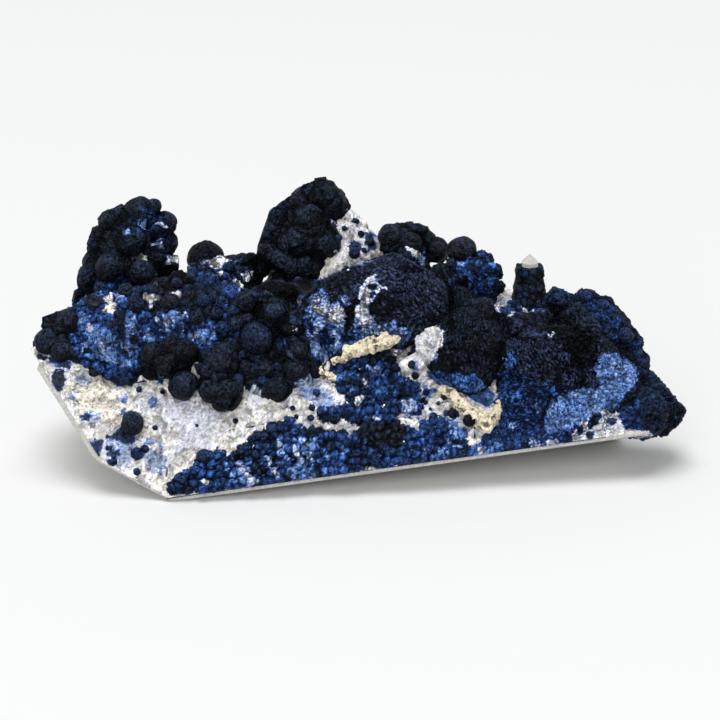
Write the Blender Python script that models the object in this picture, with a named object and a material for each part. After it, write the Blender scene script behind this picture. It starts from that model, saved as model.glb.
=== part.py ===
"""Blueberry fluorite on quartz: a block of drusy quartz, sawn underneath, with dark blue fluorite grown on its
display side as knobbly towers, balls, broken domes and crusts, two cream ridges, and one bare quartz point.

Written for Blender 4.5. The model is in metres, +Z up, +X to the right of the display side and +Y to its back.
The origin is on the flat sawn base that the specimen stands on.

A fluorite growth starts as an ellipsoid, and each of its points is pushed out along its ray from the growth's
centre to the farthest of the round lumps that have grown together there. Growths that have grown into each other
are one mass, and each mass is one closed solid, with a hair's gap to what it sits on.
"""

import math
from collections import namedtuple
from functools import partial

import bmesh
import bpy
import numpy as np
from mathutils import Matrix, Vector

MM = 0.001

# ---- Driving dimensions, in millimetres ---------------------------------------------------------------------
TOP_FACE = 49.0  # height of the quartz block under the growths
BACK_FACE = 84.0  # how far the broken back lies behind the front corner
FRONT_CORNER = 40.0  # the origin lies this far behind the front corner
CORNER_X = -65.0  # the front corner, where both undersides meet the base
FACE_SLOPE = 0.55  # how far the front face leans back for each millimetre of height
FACE_TURN = 0.05  # how far it turns back for each millimetre to the right
GAP = 0.3  # between neighbouring solids
GRAIN = 0.7  # roughness of the broken and drusy sides

# The display side is laid out as it is seen from a viewpoint in front of it and a little above. Across and up are
# millimetres on a plane through SIGHT, square to the line of sight; back is the distance behind the front corner.
VIEW_TILT = math.radians(20.0)
VIEW_DISTANCE = 900.0
SIGHT = Vector((0.0, 35.0, 36.9))
SIGHT_UP = 46.67  # the layout's height at SIGHT
TOWARDS = Vector((0.0, math.cos(VIEW_TILT), -math.sin(VIEW_TILT)))
UPWARDS = Vector((0.0, math.sin(VIEW_TILT), math.cos(VIEW_TILT)))
VIEWPOINT = SIGHT - TOWARDS * VIEW_DISTANCE
FACE_OUTWARDS = Vector((FACE_TURN, -1.0, FACE_SLOPE)).normalized()


def to_model(point):
    """A point measured from the front corner, in millimetres, as one measured from the origin, in metres."""
    return (Vector(point) - Vector((0.0, FRONT_CORNER, 0.0))) * MM


def place(across, up, back):
    """The point at that depth on the line of sight through (across, up) of the layout, in millimetres."""
    sight_line = TOWARDS * VIEW_DISTANCE + Vector((across, 0.0, 0.0)) + UPWARDS * (up - SIGHT_UP)
    return VIEWPOINT + sight_line * ((back - VIEWPOINT.y) / sight_line.y)


def on_front(across, up, proud=0.0):
    """Across and up as given, and how far back the front face lies on that line of sight, less proud."""
    near, far = place(across, up, 0.0), place(across, up, 100.0)
    corner = Vector((CORNER_X, 0.0, 0.0))
    share = FACE_OUTWARDS.dot(corner - near) / FACE_OUTWARDS.dot(far - near)
    return across, up, 100.0 * share - proud


# ---- Finishes: colour, roughness ----------------------------------------------------------------------------
FINISHES = {
    "quartz_druse": ((0.78, 0.76, 0.72), 0.45),
    "night_fluorite": ((0.020, 0.024, 0.036), 0.55),
    "blue_fluorite": ((0.045, 0.095, 0.300), 0.50),
    "navy_fluorite": ((0.016, 0.032, 0.120), 0.50),
    "cream_crust": ((0.80, 0.66, 0.42), 0.80),
    "clear_quartz": ((0.86, 0.83, 0.78), 0.15),
}

# A growth: its centre and half-axes, how many knobs stud it and how big they are, how finely it is faceted, and
# its lumps as (across, up, back, radius).
Growth = namedtuple("Growth", "centre half_axes knobs knob_size facets lumps")

# Each mass is a finish and the growths that are one solid.
MASSES = {
    "great_dome": ("night_fluorite", [
        Growth((4, 62.5, 37), (23, 15, 17), 10, 4.0, 7, [
            (-13.0, 60.0, 32, 8.5), (-8.0, 69.0, 38, 8.0), (11.0, 74.0, 44, 8.0), (19.5, 67.0, 40, 9.0),
            (19.0, 62.0, 35, 9.0), (8.0, 55.0, 29, 8.0),
        ]),
    ]),
    "right_domes": ("night_fluorite", [
        Growth(on_front(66, 45, -1), (21, 12, 13.5), 10, 3.8, 6, [
            (53.5, 56.0, 36, 6.5), (60.0, 58.5, 38, 5.5), (*on_front(70.0, 43.0, 4), 8.0),
            (*on_front(54.5, 33.0, 0), 8.0), (*on_front(68.0, 31.5, 0), 8.0), (*on_front(83.5, 40.0, -2), 8.5),
        ]),
        Growth(on_front(35.5, 50, 0), (13, 10, 14.5), 8, 3.2, 5, [
            (41.0, 60.0, 34, 7.5), (*on_front(27.5, 46.0, 3), 5.0), (*on_front(37.0, 42.0, 2), 7.0),
            (*on_front(43.0, 48.0, 2), 5.5),
        ]),
        Growth((75.5, 56.5, 46), (14.5, 13.5, 11), 12, 2.8, 6, [
            (66.0, 65.0, 47, 5.5), (75.0, 65.5, 49, 5.0), (80.0, 62.0, 48, 4.6), (83.5, 56.5, 47, 5.0),
            (89.5, 52.0, 46, 5.2), (91.5, 45.5, 43, 5.2), (87.0, 47.0, 43, 6.0),
        ]),
        Growth((96.5, 32, 37), (12, 10, 9.5), 8, 3.0, 4, [
            (105.0, 33.5, 36, 5.0), (102.5, 26.5, 35, 5.5), (94.5, 27.0, 33, 6.0), (92.5, 40.0, 41, 6.5),
            (101.0, 34.0, 36, 9.5), (90.5, 27.5, 31, 6.5),
        ]),
    ]),
    "sugar_ball": ("navy_fluorite", [
        Growth((37.5, 72, 54), (9.3, 8.5, 9.8), 26, 2.2, 5, [
            (34.3, 83.5, 55, 5.4), (42.5, 71.0, 52, 4.0), (41.0, 78.0, 54, 3.5),
        ]),
    ]),
    "rear_dome": ("night_fluorite", [
        Growth((14.5, 79, 68), (9.5, 10, 13.0), 10, 2.8, 5, [
            (10.5, 86.0, 69, 4.8), (15.0, 87.0, 69, 4.6), (20.5, 86.0, 69, 4.6), (8.0, 82.0, 67, 4.8),
            (25.5, 82.5, 68, 4.6),
        ]),
    ]),
    "centre_tower": ("night_fluorite", [
        Growth((-17.5, 87, 63), (12, 11, 15.5), 10, 3.4, 7, [
            (-12.7, 102.3, 63, 5.4), (-20.0, 99.5, 62, 5.6), (-8.0, 98.0, 63, 5.2), (-25.5, 95.0, 62, 5.2),
            (-16.5, 92.5, 56, 5.8), (-28.5, 88.5, 60, 5.4), (-21.5, 86.0, 55, 5.2), (-12.5, 85.5, 55, 5.4),
            (-31.0, 82.0, 58, 5.0), (-24.5, 79.0, 54, 5.4), (-16.5, 78.0, 54, 5.4), (-33.0, 77.5, 58, 4.6),
        ]),
        Growth((-39.5, 74, 58), (7, 7, 8.0), 6, 2.2, 3, [
            (-43.0, 77.0, 60, 3.6), (-37.5, 77.5, 60, 3.6),
        ]),
        Growth((-49.5, 69, 48), (11, 9.5, 9.5), 14, 2.6, 5, [
            (-60.5, 72.0, 48, 3.6), (-57.0, 67.5, 43, 3.8), (-51.5, 71.5, 43, 4.6), (-46.0, 69.5, 42, 4.8),
            (-42.5, 64.8, 40, 4.8), (-47.0, 76.0, 50, 4.0), (-40.0, 72.0, 49, 5.2),
        ]),
    ]),
    "centre_cluster": ("night_fluorite", [
        Growth((-28.5, 59, 33), (9, 9, 12), 10, 3.4, 6, [
            (-28.0, 67.0, 38, 6.6), (-34.0, 54.5, 26, 5.8), (-25.0, 49.0, 24, 6.2), (-32.5, 46.5, 23, 4.6),
            (-21.0, 43.5, 22, 4.3), (-38.0, 65.0, 38, 4.2), (-22.5, 58.5, 28, 5.0),
            (-34.0, 54.0, 28, 6.5), (-39.5, 50.0, 26, 5.0), (-20.0, 52.0, 28, 4.5),
        ]),
    ]),
    "left_tower": ("night_fluorite", [
        Growth((-78, 82, 60), (11, 11, 15.5), 8, 3.2, 7, [
            (-73.5, 95.5, 60, 5.6), (-82.0, 93.5, 59, 5.6), (-65.8, 91.5, 59, 4.6), (-65.0, 85.5, 58, 4.4),
            (-87.0, 87.0, 58, 5.2), (-76.5, 86.0, 53, 5.4), (-87.5, 79.5, 57, 5.0), (-83.3, 77.7, 50, 5.0),
            (-73.7, 76.3, 50, 4.6), (-91.0, 73.0, 55, 4.6), (-93.0, 68.0, 53, 4.2), (-84.0, 70.5, 49, 4.8),
            (-77.0, 69.5, 49, 4.0), (-67.0, 79.0, 56, 4.6),
        ]),
    ]),
    "left_mounds": ("blue_fluorite", [
        Growth((-84, 54.5, 28), (12, 9.5, 12.5), 8, 3.0, 6, [
            (-86.0, 64.0, 35, 4.8), (-78.5, 61.5, 33, 4.8), (-91.0, 56.5, 29, 5.2), (-82.5, 50.0, 24, 7.0),
            (-79.5, 43.5, 21, 4.6), (-76.5, 56.0, 27, 5.0),
        ]),
        Growth((-62, 59.5, 33), (10, 8.5, 8), 8, 3.0, 4, [
            (-68.5, 62.0, 34, 4.2), (-64.0, 65.5, 37, 4.4), (-55.5, 64.5, 36, 4.8), (-54.0, 55.0, 30, 4.8),
            (-62.0, 54.5, 28, 4.4), (-68.0, 56.0, 31, 4.4),
        ]),
        Growth(on_front(-63.5, 47, 1), (8, 6.5, 5.2), 6, 2.4, 4, [
            (*on_front(-68.3, 45.8, 2), 4.4), (*on_front(-59.3, 48.8, 2), 4.6), (*on_front(-64.0, 48.5, 3), 4.0),
        ]),
        Growth((-100.5, 54, 33), (7.5, 7.5, 7), 4, 2.4, 4, [
            (-105.0, 52.5, 32, 5.4), (-99.3, 50.8, 29, 5.0), (-97.8, 60.0, 36, 4.6),
        ]),
    ]),
    "twin_ball": ("night_fluorite", [
        Growth(on_front(-46.5, 41, 0.5), (6.0, 6.5, 6.0), 6, 2.6, 5, [
            (*on_front(-47.0, 45.5, 0.5), 7.2), (*on_front(-49.5, 35.8, 3.0), 3.8),
            (*on_front(-43.2, 36.0, 3.0), 4.2), (*on_front(-45.0, 33.0, 3.0), 3.8),
        ]),
    ]),
    "rear_ball": ("night_fluorite", [Growth((-51.3, 80.2, 63), (6.4, 6.4, 6.3), 0, 0.0, 4, [])]),
    "hazy_ball": ("night_fluorite", [Growth(on_front(-58.8, 38.3, 1.0), (5.0, 5.0, 4.9), 0, 0.0, 3, [])]),
    "low_ball": ("night_fluorite", [Growth(on_front(-27.7, 37.5, 1.0), (4.6, 4.6, 4.5), 0, 0.0, 3, [])]),
    "lone_ball": ("night_fluorite", [Growth(on_front(-76.3, 26, 1.0), (3.6, 3.6, 3.5), 0, 0.0, 3, [])]),
}

# The crusts of small balls on the front face, as oval patches: (across, up, half width, half height, balls).
CRUSTS = {
    "front_crust": [(5, 19.5, 33, 12.5, 34), (10, 37.0, 16, 9, 12)],
    "corner_crust": [(-46.5, 10.5, 16, 6.5, 13)],
}
CRUST_FOOT = 2.0  # just above the rim, at the front corner
FOOT_RISE = 0.14  # how far the foot of the display side rises for each millimetre to the right
CRUST_STEP = 3.2  # between the points of a crust's grid
CRUST_BALL = (3.8, 5.2)  # smallest and largest radius
CRUST_SUNK = 0.35  # the share of its radius that each ball's middle lies inside the front face
CRUST_FLOOR = -1.6  # how far a crust's underside lies inside the front face

# The cream ridges: points along each as (across, up, back, radius).
CREAM_RIDGES = {
    "long_cream_ridge": [
        (*on_front(-8.5, 46.8, 2.5), 1.4), (*on_front(-4.2, 49.2, 5.0), 2.1), (*on_front(-0.8, 50.2, 5.5), 2.3),
        (*on_front(2.5, 51.2, 6.2), 2.4), (*on_front(5.8, 52.4, 7.6), 2.7), (*on_front(8.8, 52.9, 8.0), 2.9),
        (*on_front(10.9, 53.3, 7.8), 2.3),
    ],
    "forked_cream_ridge": [
        (*on_front(28.0, 36.8, 0.8), 1.2), (*on_front(31.5, 34.0, 0.8), 2.0), (*on_front(35.5, 30.5, 1.0), 2.4),
        (*on_front(39.0, 27.5, 1.0), 3.0), (*on_front(42.5, 25.5, 1.0), 3.0), (*on_front(45.5, 28.5, 1.0), 2.2),
        (*on_front(46.0, 32.0, 1.0), 1.5),
    ],
}
RIDGE_SIDES = 8
RIDGE_TIP = 1.2  # from the last ring to the tip

# The quartz point and the fluorite sleeve on its stem, as (height above the foot, radius).
SIX = 6  # sides of a quartz prism
SLEEVE_FOOT = (56.3, 64.0, 66.0)
SLEEVE_STEPS = [(-4.0, 7.4), (2.0, 7.0), (4.5, 6.2), (8.0, 5.6), (11.5, 5.0), (12.6, 5.4), (15.0, 4.9)]
POINT_RADIUS = 3.1
POINT_PRISM = 1.2
POINT_HEIGHT = 4.3

# The quartz block as half-spaces: a point on each face and the direction that it faces.
ROUGH_FACES = [
    ((CORNER_X, 0, 0), FACE_OUTWARDS),  # front, the display side
    ((0, 60, TOP_FACE), (0.0, 0.1, 1.0)),  # top, under the growths
    ((50, 50, TOP_FACE), (0.55, 0.0, 1.0)),  # right shoulder
    ((-92, 50, TOP_FACE), (-0.55, -0.1, 1.0)),  # left shoulder
    ((0, BACK_FACE, 20), (0.12, 1.0, 0.10)),  # back, right
    ((-40, BACK_FACE, 20), (-0.25, 1.0, 0.25)),  # back, left
    ((0, BACK_FACE - 4, 10), (0.0, 1.0, -0.6)),  # back, foot
    ((93, 40, 20), (1.0, 0.15, -0.1)),  # right end
    ((86, 60, 20), (0.8, 0.9, 0.0)),  # right end, back
    ((-112, 40, 45), (-1.0, -0.1, 0.1)),  # left end
    ((-104, 60, 40), (-0.8, 0.7, 0.0)),  # left end, back
]
RIGHT_UNDERSIDE = Vector((0.140, -0.386, -0.912))
LEFT_UNDERSIDE = Vector((-0.813, -0.010, -0.583))
LEFT_FOOT = Vector((-0.444, -0.015, -0.896))
SAWN_FACES = [
    ((0, 0, 0), (0.0, 0.0, -1.0)),  # the base it stands on
    ((CORNER_X, 0, 0), RIGHT_UNDERSIDE),
    ((-87.4, 5.9, 12.7), LEFT_UNDERSIDE),
    ((-87.4, 5.9, 12.7), LEFT_FOOT),
    ((CORNER_X, 0.9, 0), FACE_OUTWARDS + RIGHT_UNDERSIDE * 0.7),  # the narrow rim along the display side's foot
    ((-86.3, 6.3, 13.3), FACE_OUTWARDS + LEFT_UNDERSIDE),  # the narrow rim up its left side
    ((-64.2, 1.2, 2.1), FACE_OUTWARDS + LEFT_FOOT),  # and along its left foot
]
SAW_ALLOWANCE = 6.0  # quartz left beyond a sawn face, which the saw then takes
# Hills and spurs of quartz that carry the growths, as (x, y, z, radius).
HILLS = [
    (-78, 60, 44, 17), (-50, 64, 45, 15), (-18, 63, 48, 17), (-3, 66, 62, 11.5), (-5, 64, 69, 8), (15, 68, 46, 13),
    (38, 55, 43, 14), (75, 52, 30, 15), (-86, 34, 40, 11), (24, 30, 40, 7), (88, 32, 16, 9), (56, 64, 38, 9),
    (-101, 36, 40, 7),
]
BLOCK_CENTRE = Vector((-6.0, 46.0, 25.0))
BLOCK_HALF_AXES = (100.0, 42.0, 26.0)
BLOCK_FACETS = 11

CLEARANCE = "clearance_"  # a swollen twin that keeps its neighbours' gap
LOBE = "lobe_"  # a growth that is joined to its mass


def finish_of(name):
    """The material for a finish, made the first time that it is asked for."""
    found = bpy.data.materials.get(name)
    if found:
        return found
    colour, roughness = FINISHES[name]
    material = bpy.data.materials.new(name)
    material.use_nodes = True
    shader = material.node_tree.nodes["Principled BSDF"]
    shader.inputs["Base Color"].default_value = (*colour, 1.0)
    shader.inputs["Roughness"].default_value = roughness
    shader.inputs["Metallic"].default_value = 0.0
    material.diffuse_color = (*colour, 1.0)
    return material


def object_from(name, solid, at, finish=None):
    """An object with its origin at a point, from a bmesh in millimetres about it. With no finish, it is a guide."""
    bmesh.ops.triangulate(solid, faces=solid.faces)
    bmesh.ops.scale(solid, vec=(MM, MM, MM), verts=solid.verts)
    bmesh.ops.recalc_face_normals(solid, faces=solid.faces)
    mesh = bpy.data.meshes.new(name)
    solid.to_mesh(mesh)
    solid.free()
    made = bpy.data.objects.new(name, mesh)
    made.location = to_model(at)
    if finish:
        mesh.materials.append(finish_of(finish))
    else:
        made.hide_render = True
        made.display_type = "WIRE"
    bpy.context.scene.collection.objects.link(made)
    return made


def faceted_ball(facets):
    """A cube with its sides divided in a grid and blown up to a unit ball, so that its facets are even."""
    ball = bmesh.new()
    bmesh.ops.create_cube(ball, size=2.0)
    bmesh.ops.subdivide_edges(ball, edges=ball.edges, cuts=facets - 1, use_grid_fill=True)
    for vertex in ball.verts:
        evened = Vector([math.tan(c * math.pi / 4) for c in vertex.co])
        vertex.co = evened.normalized()
    return ball


def reach_of_lumps(rays, lumps):
    """How far each ray from the centre runs before it leaves the farthest lump: 0 where it meets none."""
    reach = np.zeros(len(rays))
    for centre, radius in lumps:
        along = rays @ np.array(centre)
        under_root = along**2 - (np.dot(centre, centre) - radius**2)
        hit = (under_root > 0) & (along > 0)
        reach[hit] = np.maximum(reach[hit], along[hit] + np.sqrt(under_root[hit]))
    return reach


def reach_of_faces(rays, centre, faces):
    """How far each ray from the centre runs before it passes the nearest face of a block."""
    reach = np.full(len(rays), np.inf)
    for point, facing in faces:
        facing = Vector(facing).normalized()
        distance = facing.dot(Vector(point) - centre)
        leaning = rays @ np.array(facing)
        hit = leaning > 1e-6
        reach[hit] = np.minimum(reach[hit], distance / leaning[hit])
    return reach


def golden_turn(n):
    """The direction of the nth of many points spread evenly round a middle, in radians."""
    return n * math.pi * (3.0 - math.sqrt(5.0))


def knobs_on(growth):
    """Small lumps spread evenly over a growth's ellipsoid, a little uneven in size."""
    uneven = np.random.default_rng(growth.knobs)
    knobs = []
    for n in range(growth.knobs):
        height = 1.0 - 2.0 * (n + 0.5) / growth.knobs
        ring = math.sqrt(1.0 - height**2)
        spot = (ring * math.cos(golden_turn(n)), ring * math.sin(golden_turn(n)), height)
        knob = Vector(a * b for a, b in zip(spot, growth.half_axes)) * 0.95
        knobs.append((knob, growth.knob_size * uneven.uniform(0.8, 1.25)))
    return knobs


def growth_solid(growth, swell=0.0):
    """The closed surface of one growth, about its own centre. Swell moves all of it outwards."""
    centre = place(*growth.centre)
    ball = faceted_ball(growth.facets)
    on_ball = np.array([v.co for v in ball.verts]) * growth.half_axes
    reach = np.linalg.norm(on_ball, axis=1)
    rays = on_ball / reach[:, None]
    lumps = [(place(*spot) - centre, radius) for *spot, radius in growth.lumps]
    reach = np.maximum(reach, reach_of_lumps(rays, lumps + knobs_on(growth))) + swell
    for vertex, point in zip(ball.verts, rays * reach[:, None]):
        vertex.co = point
    return ball, centre


def crust_foot(across):
    """How far up the foot of the crusts lies, just above the rim of the display side."""
    return CRUST_FOOT + FOOT_RISE * (across - CORNER_X)


def crust_balls(patches):
    """The balls of a crust as (across, up, radius): spread evenly over each oval patch, uneven in size."""
    uneven = np.random.default_rng(len(patches))
    balls = []
    for across, up, half_width, half_height, count in patches:
        for n in range(count):
            out = math.sqrt((n + 0.5) / count)
            turn = golden_turn(n)
            spot = (across + half_width * out * math.cos(turn), up + half_height * out * math.sin(turn))
            balls.append((*spot, uneven.uniform(*CRUST_BALL)))
    return np.array(balls)


def crust_solid(patches, swell=0.0):
    """A sheet of balls grown together on the front face: a grid raised to the highest ball over each point.

    The grid's lowest row follows the foot of the display side, and its highest is level.
    """
    balls = crust_balls(patches)
    left, right = balls[:, 0].min() - CRUST_BALL[1], balls[:, 0].max() + CRUST_BALL[1]
    top_row = balls[:, 1].max() + CRUST_BALL[1]
    columns = np.linspace(left, right, 1 + round((right - left) / CRUST_STEP))
    shares = np.linspace(0.0, 1.0, 1 + round((top_row - crust_foot(left)) / CRUST_STEP))
    middle = place(*on_front((left + right) / 2, top_row / 2))
    sheet = bmesh.new()
    tops, floors = [], []
    for share in shares:
        top, floor = [], []
        for across in columns:
            up = crust_foot(across) * (1.0 - share) + top_row * share
            off = (balls[:, 0] - across) ** 2 + (balls[:, 1] - up) ** 2
            domes = np.sqrt(np.maximum(balls[:, 2] ** 2 - off, 0.0)) - CRUST_SUNK * balls[:, 2]
            foot = place(*on_front(across, up)) - middle
            rise = max(float(domes.max()), CRUST_FLOOR + 1.0) + swell
            top.append(sheet.verts.new(foot + FACE_OUTWARDS * rise))
            floor.append(sheet.verts.new(foot + FACE_OUTWARDS * (CRUST_FLOOR - swell)))
        tops.append(top)
        floors.append(floor)
    strips = [pair for rows in (tops, floors) for pair in zip(rows, rows[1:])]
    strips += [(tops[k], floors[k]) for k in (0, -1)]
    strips += [([row[k] for row in tops], [row[k] for row in floors]) for k in (0, -1)]
    for one, two in strips:
        for k in range(len(one) - 1):
            sheet.faces.new((one[k], one[k + 1], two[k + 1], two[k]))
    return sheet, middle


def ridge_solid(path, swell=0.0):
    """A closed rounded ridge: rings of RIDGE_SIDES points carried along the path, and a tip at each end."""
    points = [place(*spot) for *spot, _ in path]
    middle = points[len(points) // 2]
    ridge = bmesh.new()
    rings = []
    for n, (point, (*_, radius)) in enumerate(zip(points, path)):
        along = (points[min(n + 1, len(points) - 1)] - points[max(n - 1, 0)]).normalized()
        side = along.cross(Vector((0.0, 0.0, 1.0))).normalized()
        over = side.cross(along)
        ring = []
        for k in range(RIDGE_SIDES):
            angle = math.tau * k / RIDGE_SIDES
            spot = point + (side * math.cos(angle) + over * math.sin(angle)) * (radius + swell)
            ring.append(ridge.verts.new(spot - middle))
        rings.append(ring)
    join_rings(ridge, rings)
    for ring, step in ((rings[0], points[0] - points[1]), (rings[-1], points[-1] - points[-2])):
        centre = sum((v.co for v in ring), Vector()) / RIDGE_SIDES
        tip = ridge.verts.new(centre + step.normalized() * (RIDGE_TIP + swell))
        for k in range(RIDGE_SIDES):
            ridge.faces.new((ring[k], ring[(k + 1) % RIDGE_SIDES], tip))
    return ridge, middle


def join_rings(solid, rings):
    """Faces between each ring and the next, all the way round."""
    for one, two in zip(rings, rings[1:]):
        for k in range(len(one)):
            after = (k + 1) % len(one)
            solid.faces.new((one[k], one[after], two[after], two[k]))


def six_sided(solid, steps):
    """Six-sided rings of a prism at each (height, radius), joined up, with a flat bottom."""
    rings = []
    for height, radius in steps:
        turns = [math.tau * (k + 0.5) / SIX for k in range(SIX)]
        rings.append([solid.verts.new((radius * math.cos(t), radius * math.sin(t), height)) for t in turns])
    join_rings(solid, rings)
    solid.faces.new(list(reversed(rings[0])))
    return rings[-1]


def sleeve_solid(swell=0.0):
    """The fluorite sleeve on the quartz point's stem: a six-sided column, stepped where it thickens downwards."""
    sleeve = bmesh.new()
    (foot, foot_radius), *middle, (top, top_radius) = SLEEVE_STEPS
    steps = [(foot - swell, foot_radius + swell)]
    steps += [(height, radius + swell) for height, radius in middle]
    steps += [(top + swell, top_radius + swell)]
    sleeve.faces.new(six_sided(sleeve, steps))
    return sleeve, place(*SLEEVE_FOOT)


def point_solid():
    """The bare end of the quartz crystal: a short six-sided prism under a six-sided pyramid."""
    point = bmesh.new()
    rim = six_sided(point, [(0.0, POINT_RADIUS), (POINT_PRISM, POINT_RADIUS)])
    apex = point.verts.new((0.0, 0.0, POINT_HEIGHT))
    for k in range(SIX):
        point.faces.new((rim[k], rim[(k + 1) % SIX], apex))
    return point, place(*SLEEVE_FOOT) + Vector((0.0, 0.0, SLEEVE_STEPS[-1][0] + GAP))


def block_solid(swell=0.0):
    """The quartz block: rough on the sides that grew or broke, and cut off flat by each sawn face."""
    block = faceted_ball(BLOCK_FACETS)
    on_ball = np.array([v.co for v in block.verts]) * BLOCK_HALF_AXES
    rays = on_ball / np.linalg.norm(on_ball, axis=1)[:, None]
    beyond_saw = [(Vector(p) + Vector(f).normalized() * SAW_ALLOWANCE, f) for p, f in SAWN_FACES[:4]]
    reach = reach_of_faces(rays, BLOCK_CENTRE, ROUGH_FACES + beyond_saw)
    hills = [(Vector(spot) - BLOCK_CENTRE, radius) for *spot, radius in HILLS]
    reach = np.maximum(reach, reach_of_lumps(rays, hills))
    reach += np.random.default_rng(7).normal(0.0, GRAIN, len(reach)) + swell
    for vertex, point in zip(block.verts, rays * reach[:, None]):
        vertex.co = point
    for point, facing in SAWN_FACES:
        everything = list(block.verts) + list(block.edges) + list(block.faces)
        on_face = Vector(point) - BLOCK_CENTRE + Vector(facing).normalized() * swell
        bmesh.ops.bisect_plane(block, geom=everything, plane_co=on_face, plane_no=facing, clear_outer=True)
        bmesh.ops.holes_fill(block, edges=[edge for edge in block.edges if edge.is_boundary], sides=0)
    return block, BLOCK_CENTRE


def boxes_meet(one, two):
    """Whether two objects' boxes overlap."""
    low_one, high_one, low_two, high_two = (
        [pick((made.matrix_world @ Vector(c))[k] for c in made.bound_box) for k in range(3)]
        for made in (one, two)
        for pick in (min, max)
    )
    return all(low_one[k] <= high_two[k] and low_two[k] <= high_one[k] for k in range(3))


def combine(made, other, operation):
    """Adds an exact Boolean of that operation with another object."""
    boolean = made.modifiers.new(other.name, "BOOLEAN")
    boolean.operation = operation
    boolean.solver = "EXACT"
    boolean.object = other


def drop_crumbs(made):
    """Applies an object's cuts, and leaves out the crumbs that they part from its main body."""
    depsgraph = bpy.context.evaluated_depsgraph_get()
    whole = bmesh.new()
    whole.from_mesh(made.evaluated_get(depsgraph).to_mesh())
    unseen = set(whole.verts)
    bodies = []
    while unseen:
        body, front = set(), [unseen.pop()]
        while front:
            vertex = front.pop()
            body.add(vertex)
            beside = {edge.other_vert(vertex) for edge in vertex.link_edges} & unseen
            unseen -= beside
            front += beside
        bodies.append(body)
    bodies.sort(key=len)
    bmesh.ops.delete(whole, geom=[v for body in bodies[:-1] for v in body], context="VERTS")
    made.modifiers.clear()
    whole.to_mesh(made.data)
    whole.free()


def nodes_to_make():
    """Each node's name, its finish and what makes its solids, from the one that is cut by none of the others on."""
    yield "quartz_block", "quartz_druse", [block_solid]
    for name, path in CREAM_RIDGES.items():
        yield name, "cream_crust", [partial(ridge_solid, path)]
    for name, (finish, growths) in MASSES.items():
        yield name, finish, [partial(growth_solid, growth) for growth in growths]
    for name, patches in CRUSTS.items():
        yield name, "navy_fluorite", [partial(crust_solid, patches)]
    yield "point_sleeve", "navy_fluorite", [sleeve_solid]


def build():
    """Makes every node, joins the growths of each mass, and cuts each node clear of those made before it."""
    for old in list(bpy.data.objects):
        bpy.data.objects.remove(old)
    nodes, lobes_of, clearance_of = [], {}, {}
    for name, finish, makers in nodes_to_make():
        node = object_from(name, *makers[0](), finish)
        nodes.append(node)
        lobes_of[node] = [object_from(f"{LOBE}{name}_{n}", *make()) for n, make in enumerate(makers[1:], 2)]
        clearance_of[node] = [
            object_from(f"{CLEARANCE}{name}_{n}", *make(GAP)) for n, make in enumerate(makers, 1)
        ]
    object_from("quartz_point", *point_solid(), "clear_quartz")
    bpy.context.view_layer.update()
    for n, node in enumerate(nodes):
        for lobe in lobes_of[node]:
            combine(node, lobe, "UNION")
        for earlier in nodes[:n]:
            for clearance in clearance_of[earlier]:
                if any(boxes_meet(own, clearance) for own in [node, *lobes_of[node]]):
                    combine(node, clearance, "DIFFERENCE")
    for node in nodes:
        drop_crumbs(node)


build()
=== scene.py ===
"""Blueberry fluorite on quartz: dark blue fluorite grown as knobbly towers, balls, broken domes and crusts
on a block of drusy quartz that is sawn underneath, with two cream ridges and one bare quartz point.

Written for Blender 4.5. The solids of the part are loaded as a frame, and each but the quartz point is
dressed here in a finer surface of the same shape. Lengths are in millimetres, measured from the block's
front corner, until a mesh is made.

The display side is laid out as it is seen from a viewpoint in front of it and a little above. Across and up
are millimetres on a plane through SIGHT, square to the line of sight; back is the distance behind the front
corner.
"""

import math
from collections import namedtuple

import bpy
import numpy as np
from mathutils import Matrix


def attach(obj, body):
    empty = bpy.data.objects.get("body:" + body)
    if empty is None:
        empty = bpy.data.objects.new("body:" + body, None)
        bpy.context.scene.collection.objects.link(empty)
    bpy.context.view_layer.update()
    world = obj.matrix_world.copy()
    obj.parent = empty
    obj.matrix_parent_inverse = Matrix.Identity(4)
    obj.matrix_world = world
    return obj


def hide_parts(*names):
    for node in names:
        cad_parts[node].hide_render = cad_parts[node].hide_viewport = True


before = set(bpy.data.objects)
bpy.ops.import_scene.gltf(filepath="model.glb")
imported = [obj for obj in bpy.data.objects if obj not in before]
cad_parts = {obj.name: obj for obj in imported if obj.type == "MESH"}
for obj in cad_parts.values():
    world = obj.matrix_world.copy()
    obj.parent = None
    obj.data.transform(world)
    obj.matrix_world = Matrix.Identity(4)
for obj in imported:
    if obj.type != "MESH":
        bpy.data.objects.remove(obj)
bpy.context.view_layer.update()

MM = 0.001
FRONT_CORNER = np.array((0.0, 40.0, 0.0))  # the origin lies this far behind the front corner
CORNER = np.array((-65.0, 0.0, 0.0))  # where both undersides meet the base
VIEW_TILT = math.radians(20.0)
VIEW_DISTANCE = 900.0
SIGHT = np.array((0.0, 35.0, 36.9))
SIGHT_UP = 46.67  # the layout's height at SIGHT
RIGHTWARDS = np.array((1.0, 0.0, 0.0))
TOWARDS = np.array((0.0, math.cos(VIEW_TILT), -math.sin(VIEW_TILT)))
UPWARDS = np.array((0.0, math.sin(VIEW_TILT), math.cos(VIEW_TILT)))
VIEWPOINT = SIGHT - TOWARDS * VIEW_DISTANCE


# ---- Layout -----------------------------------------------------------------------------------------------
def unit(vectors):
    """Vectors along the last axis, each scaled to length 1."""
    vectors = np.asarray(vectors, float)
    return vectors / np.maximum(np.linalg.norm(vectors, axis=-1, keepdims=True), 1e-12)


FACE_OUTWARDS = unit((0.05, -1.0, 0.55))  # the way that the block's display side faces


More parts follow.
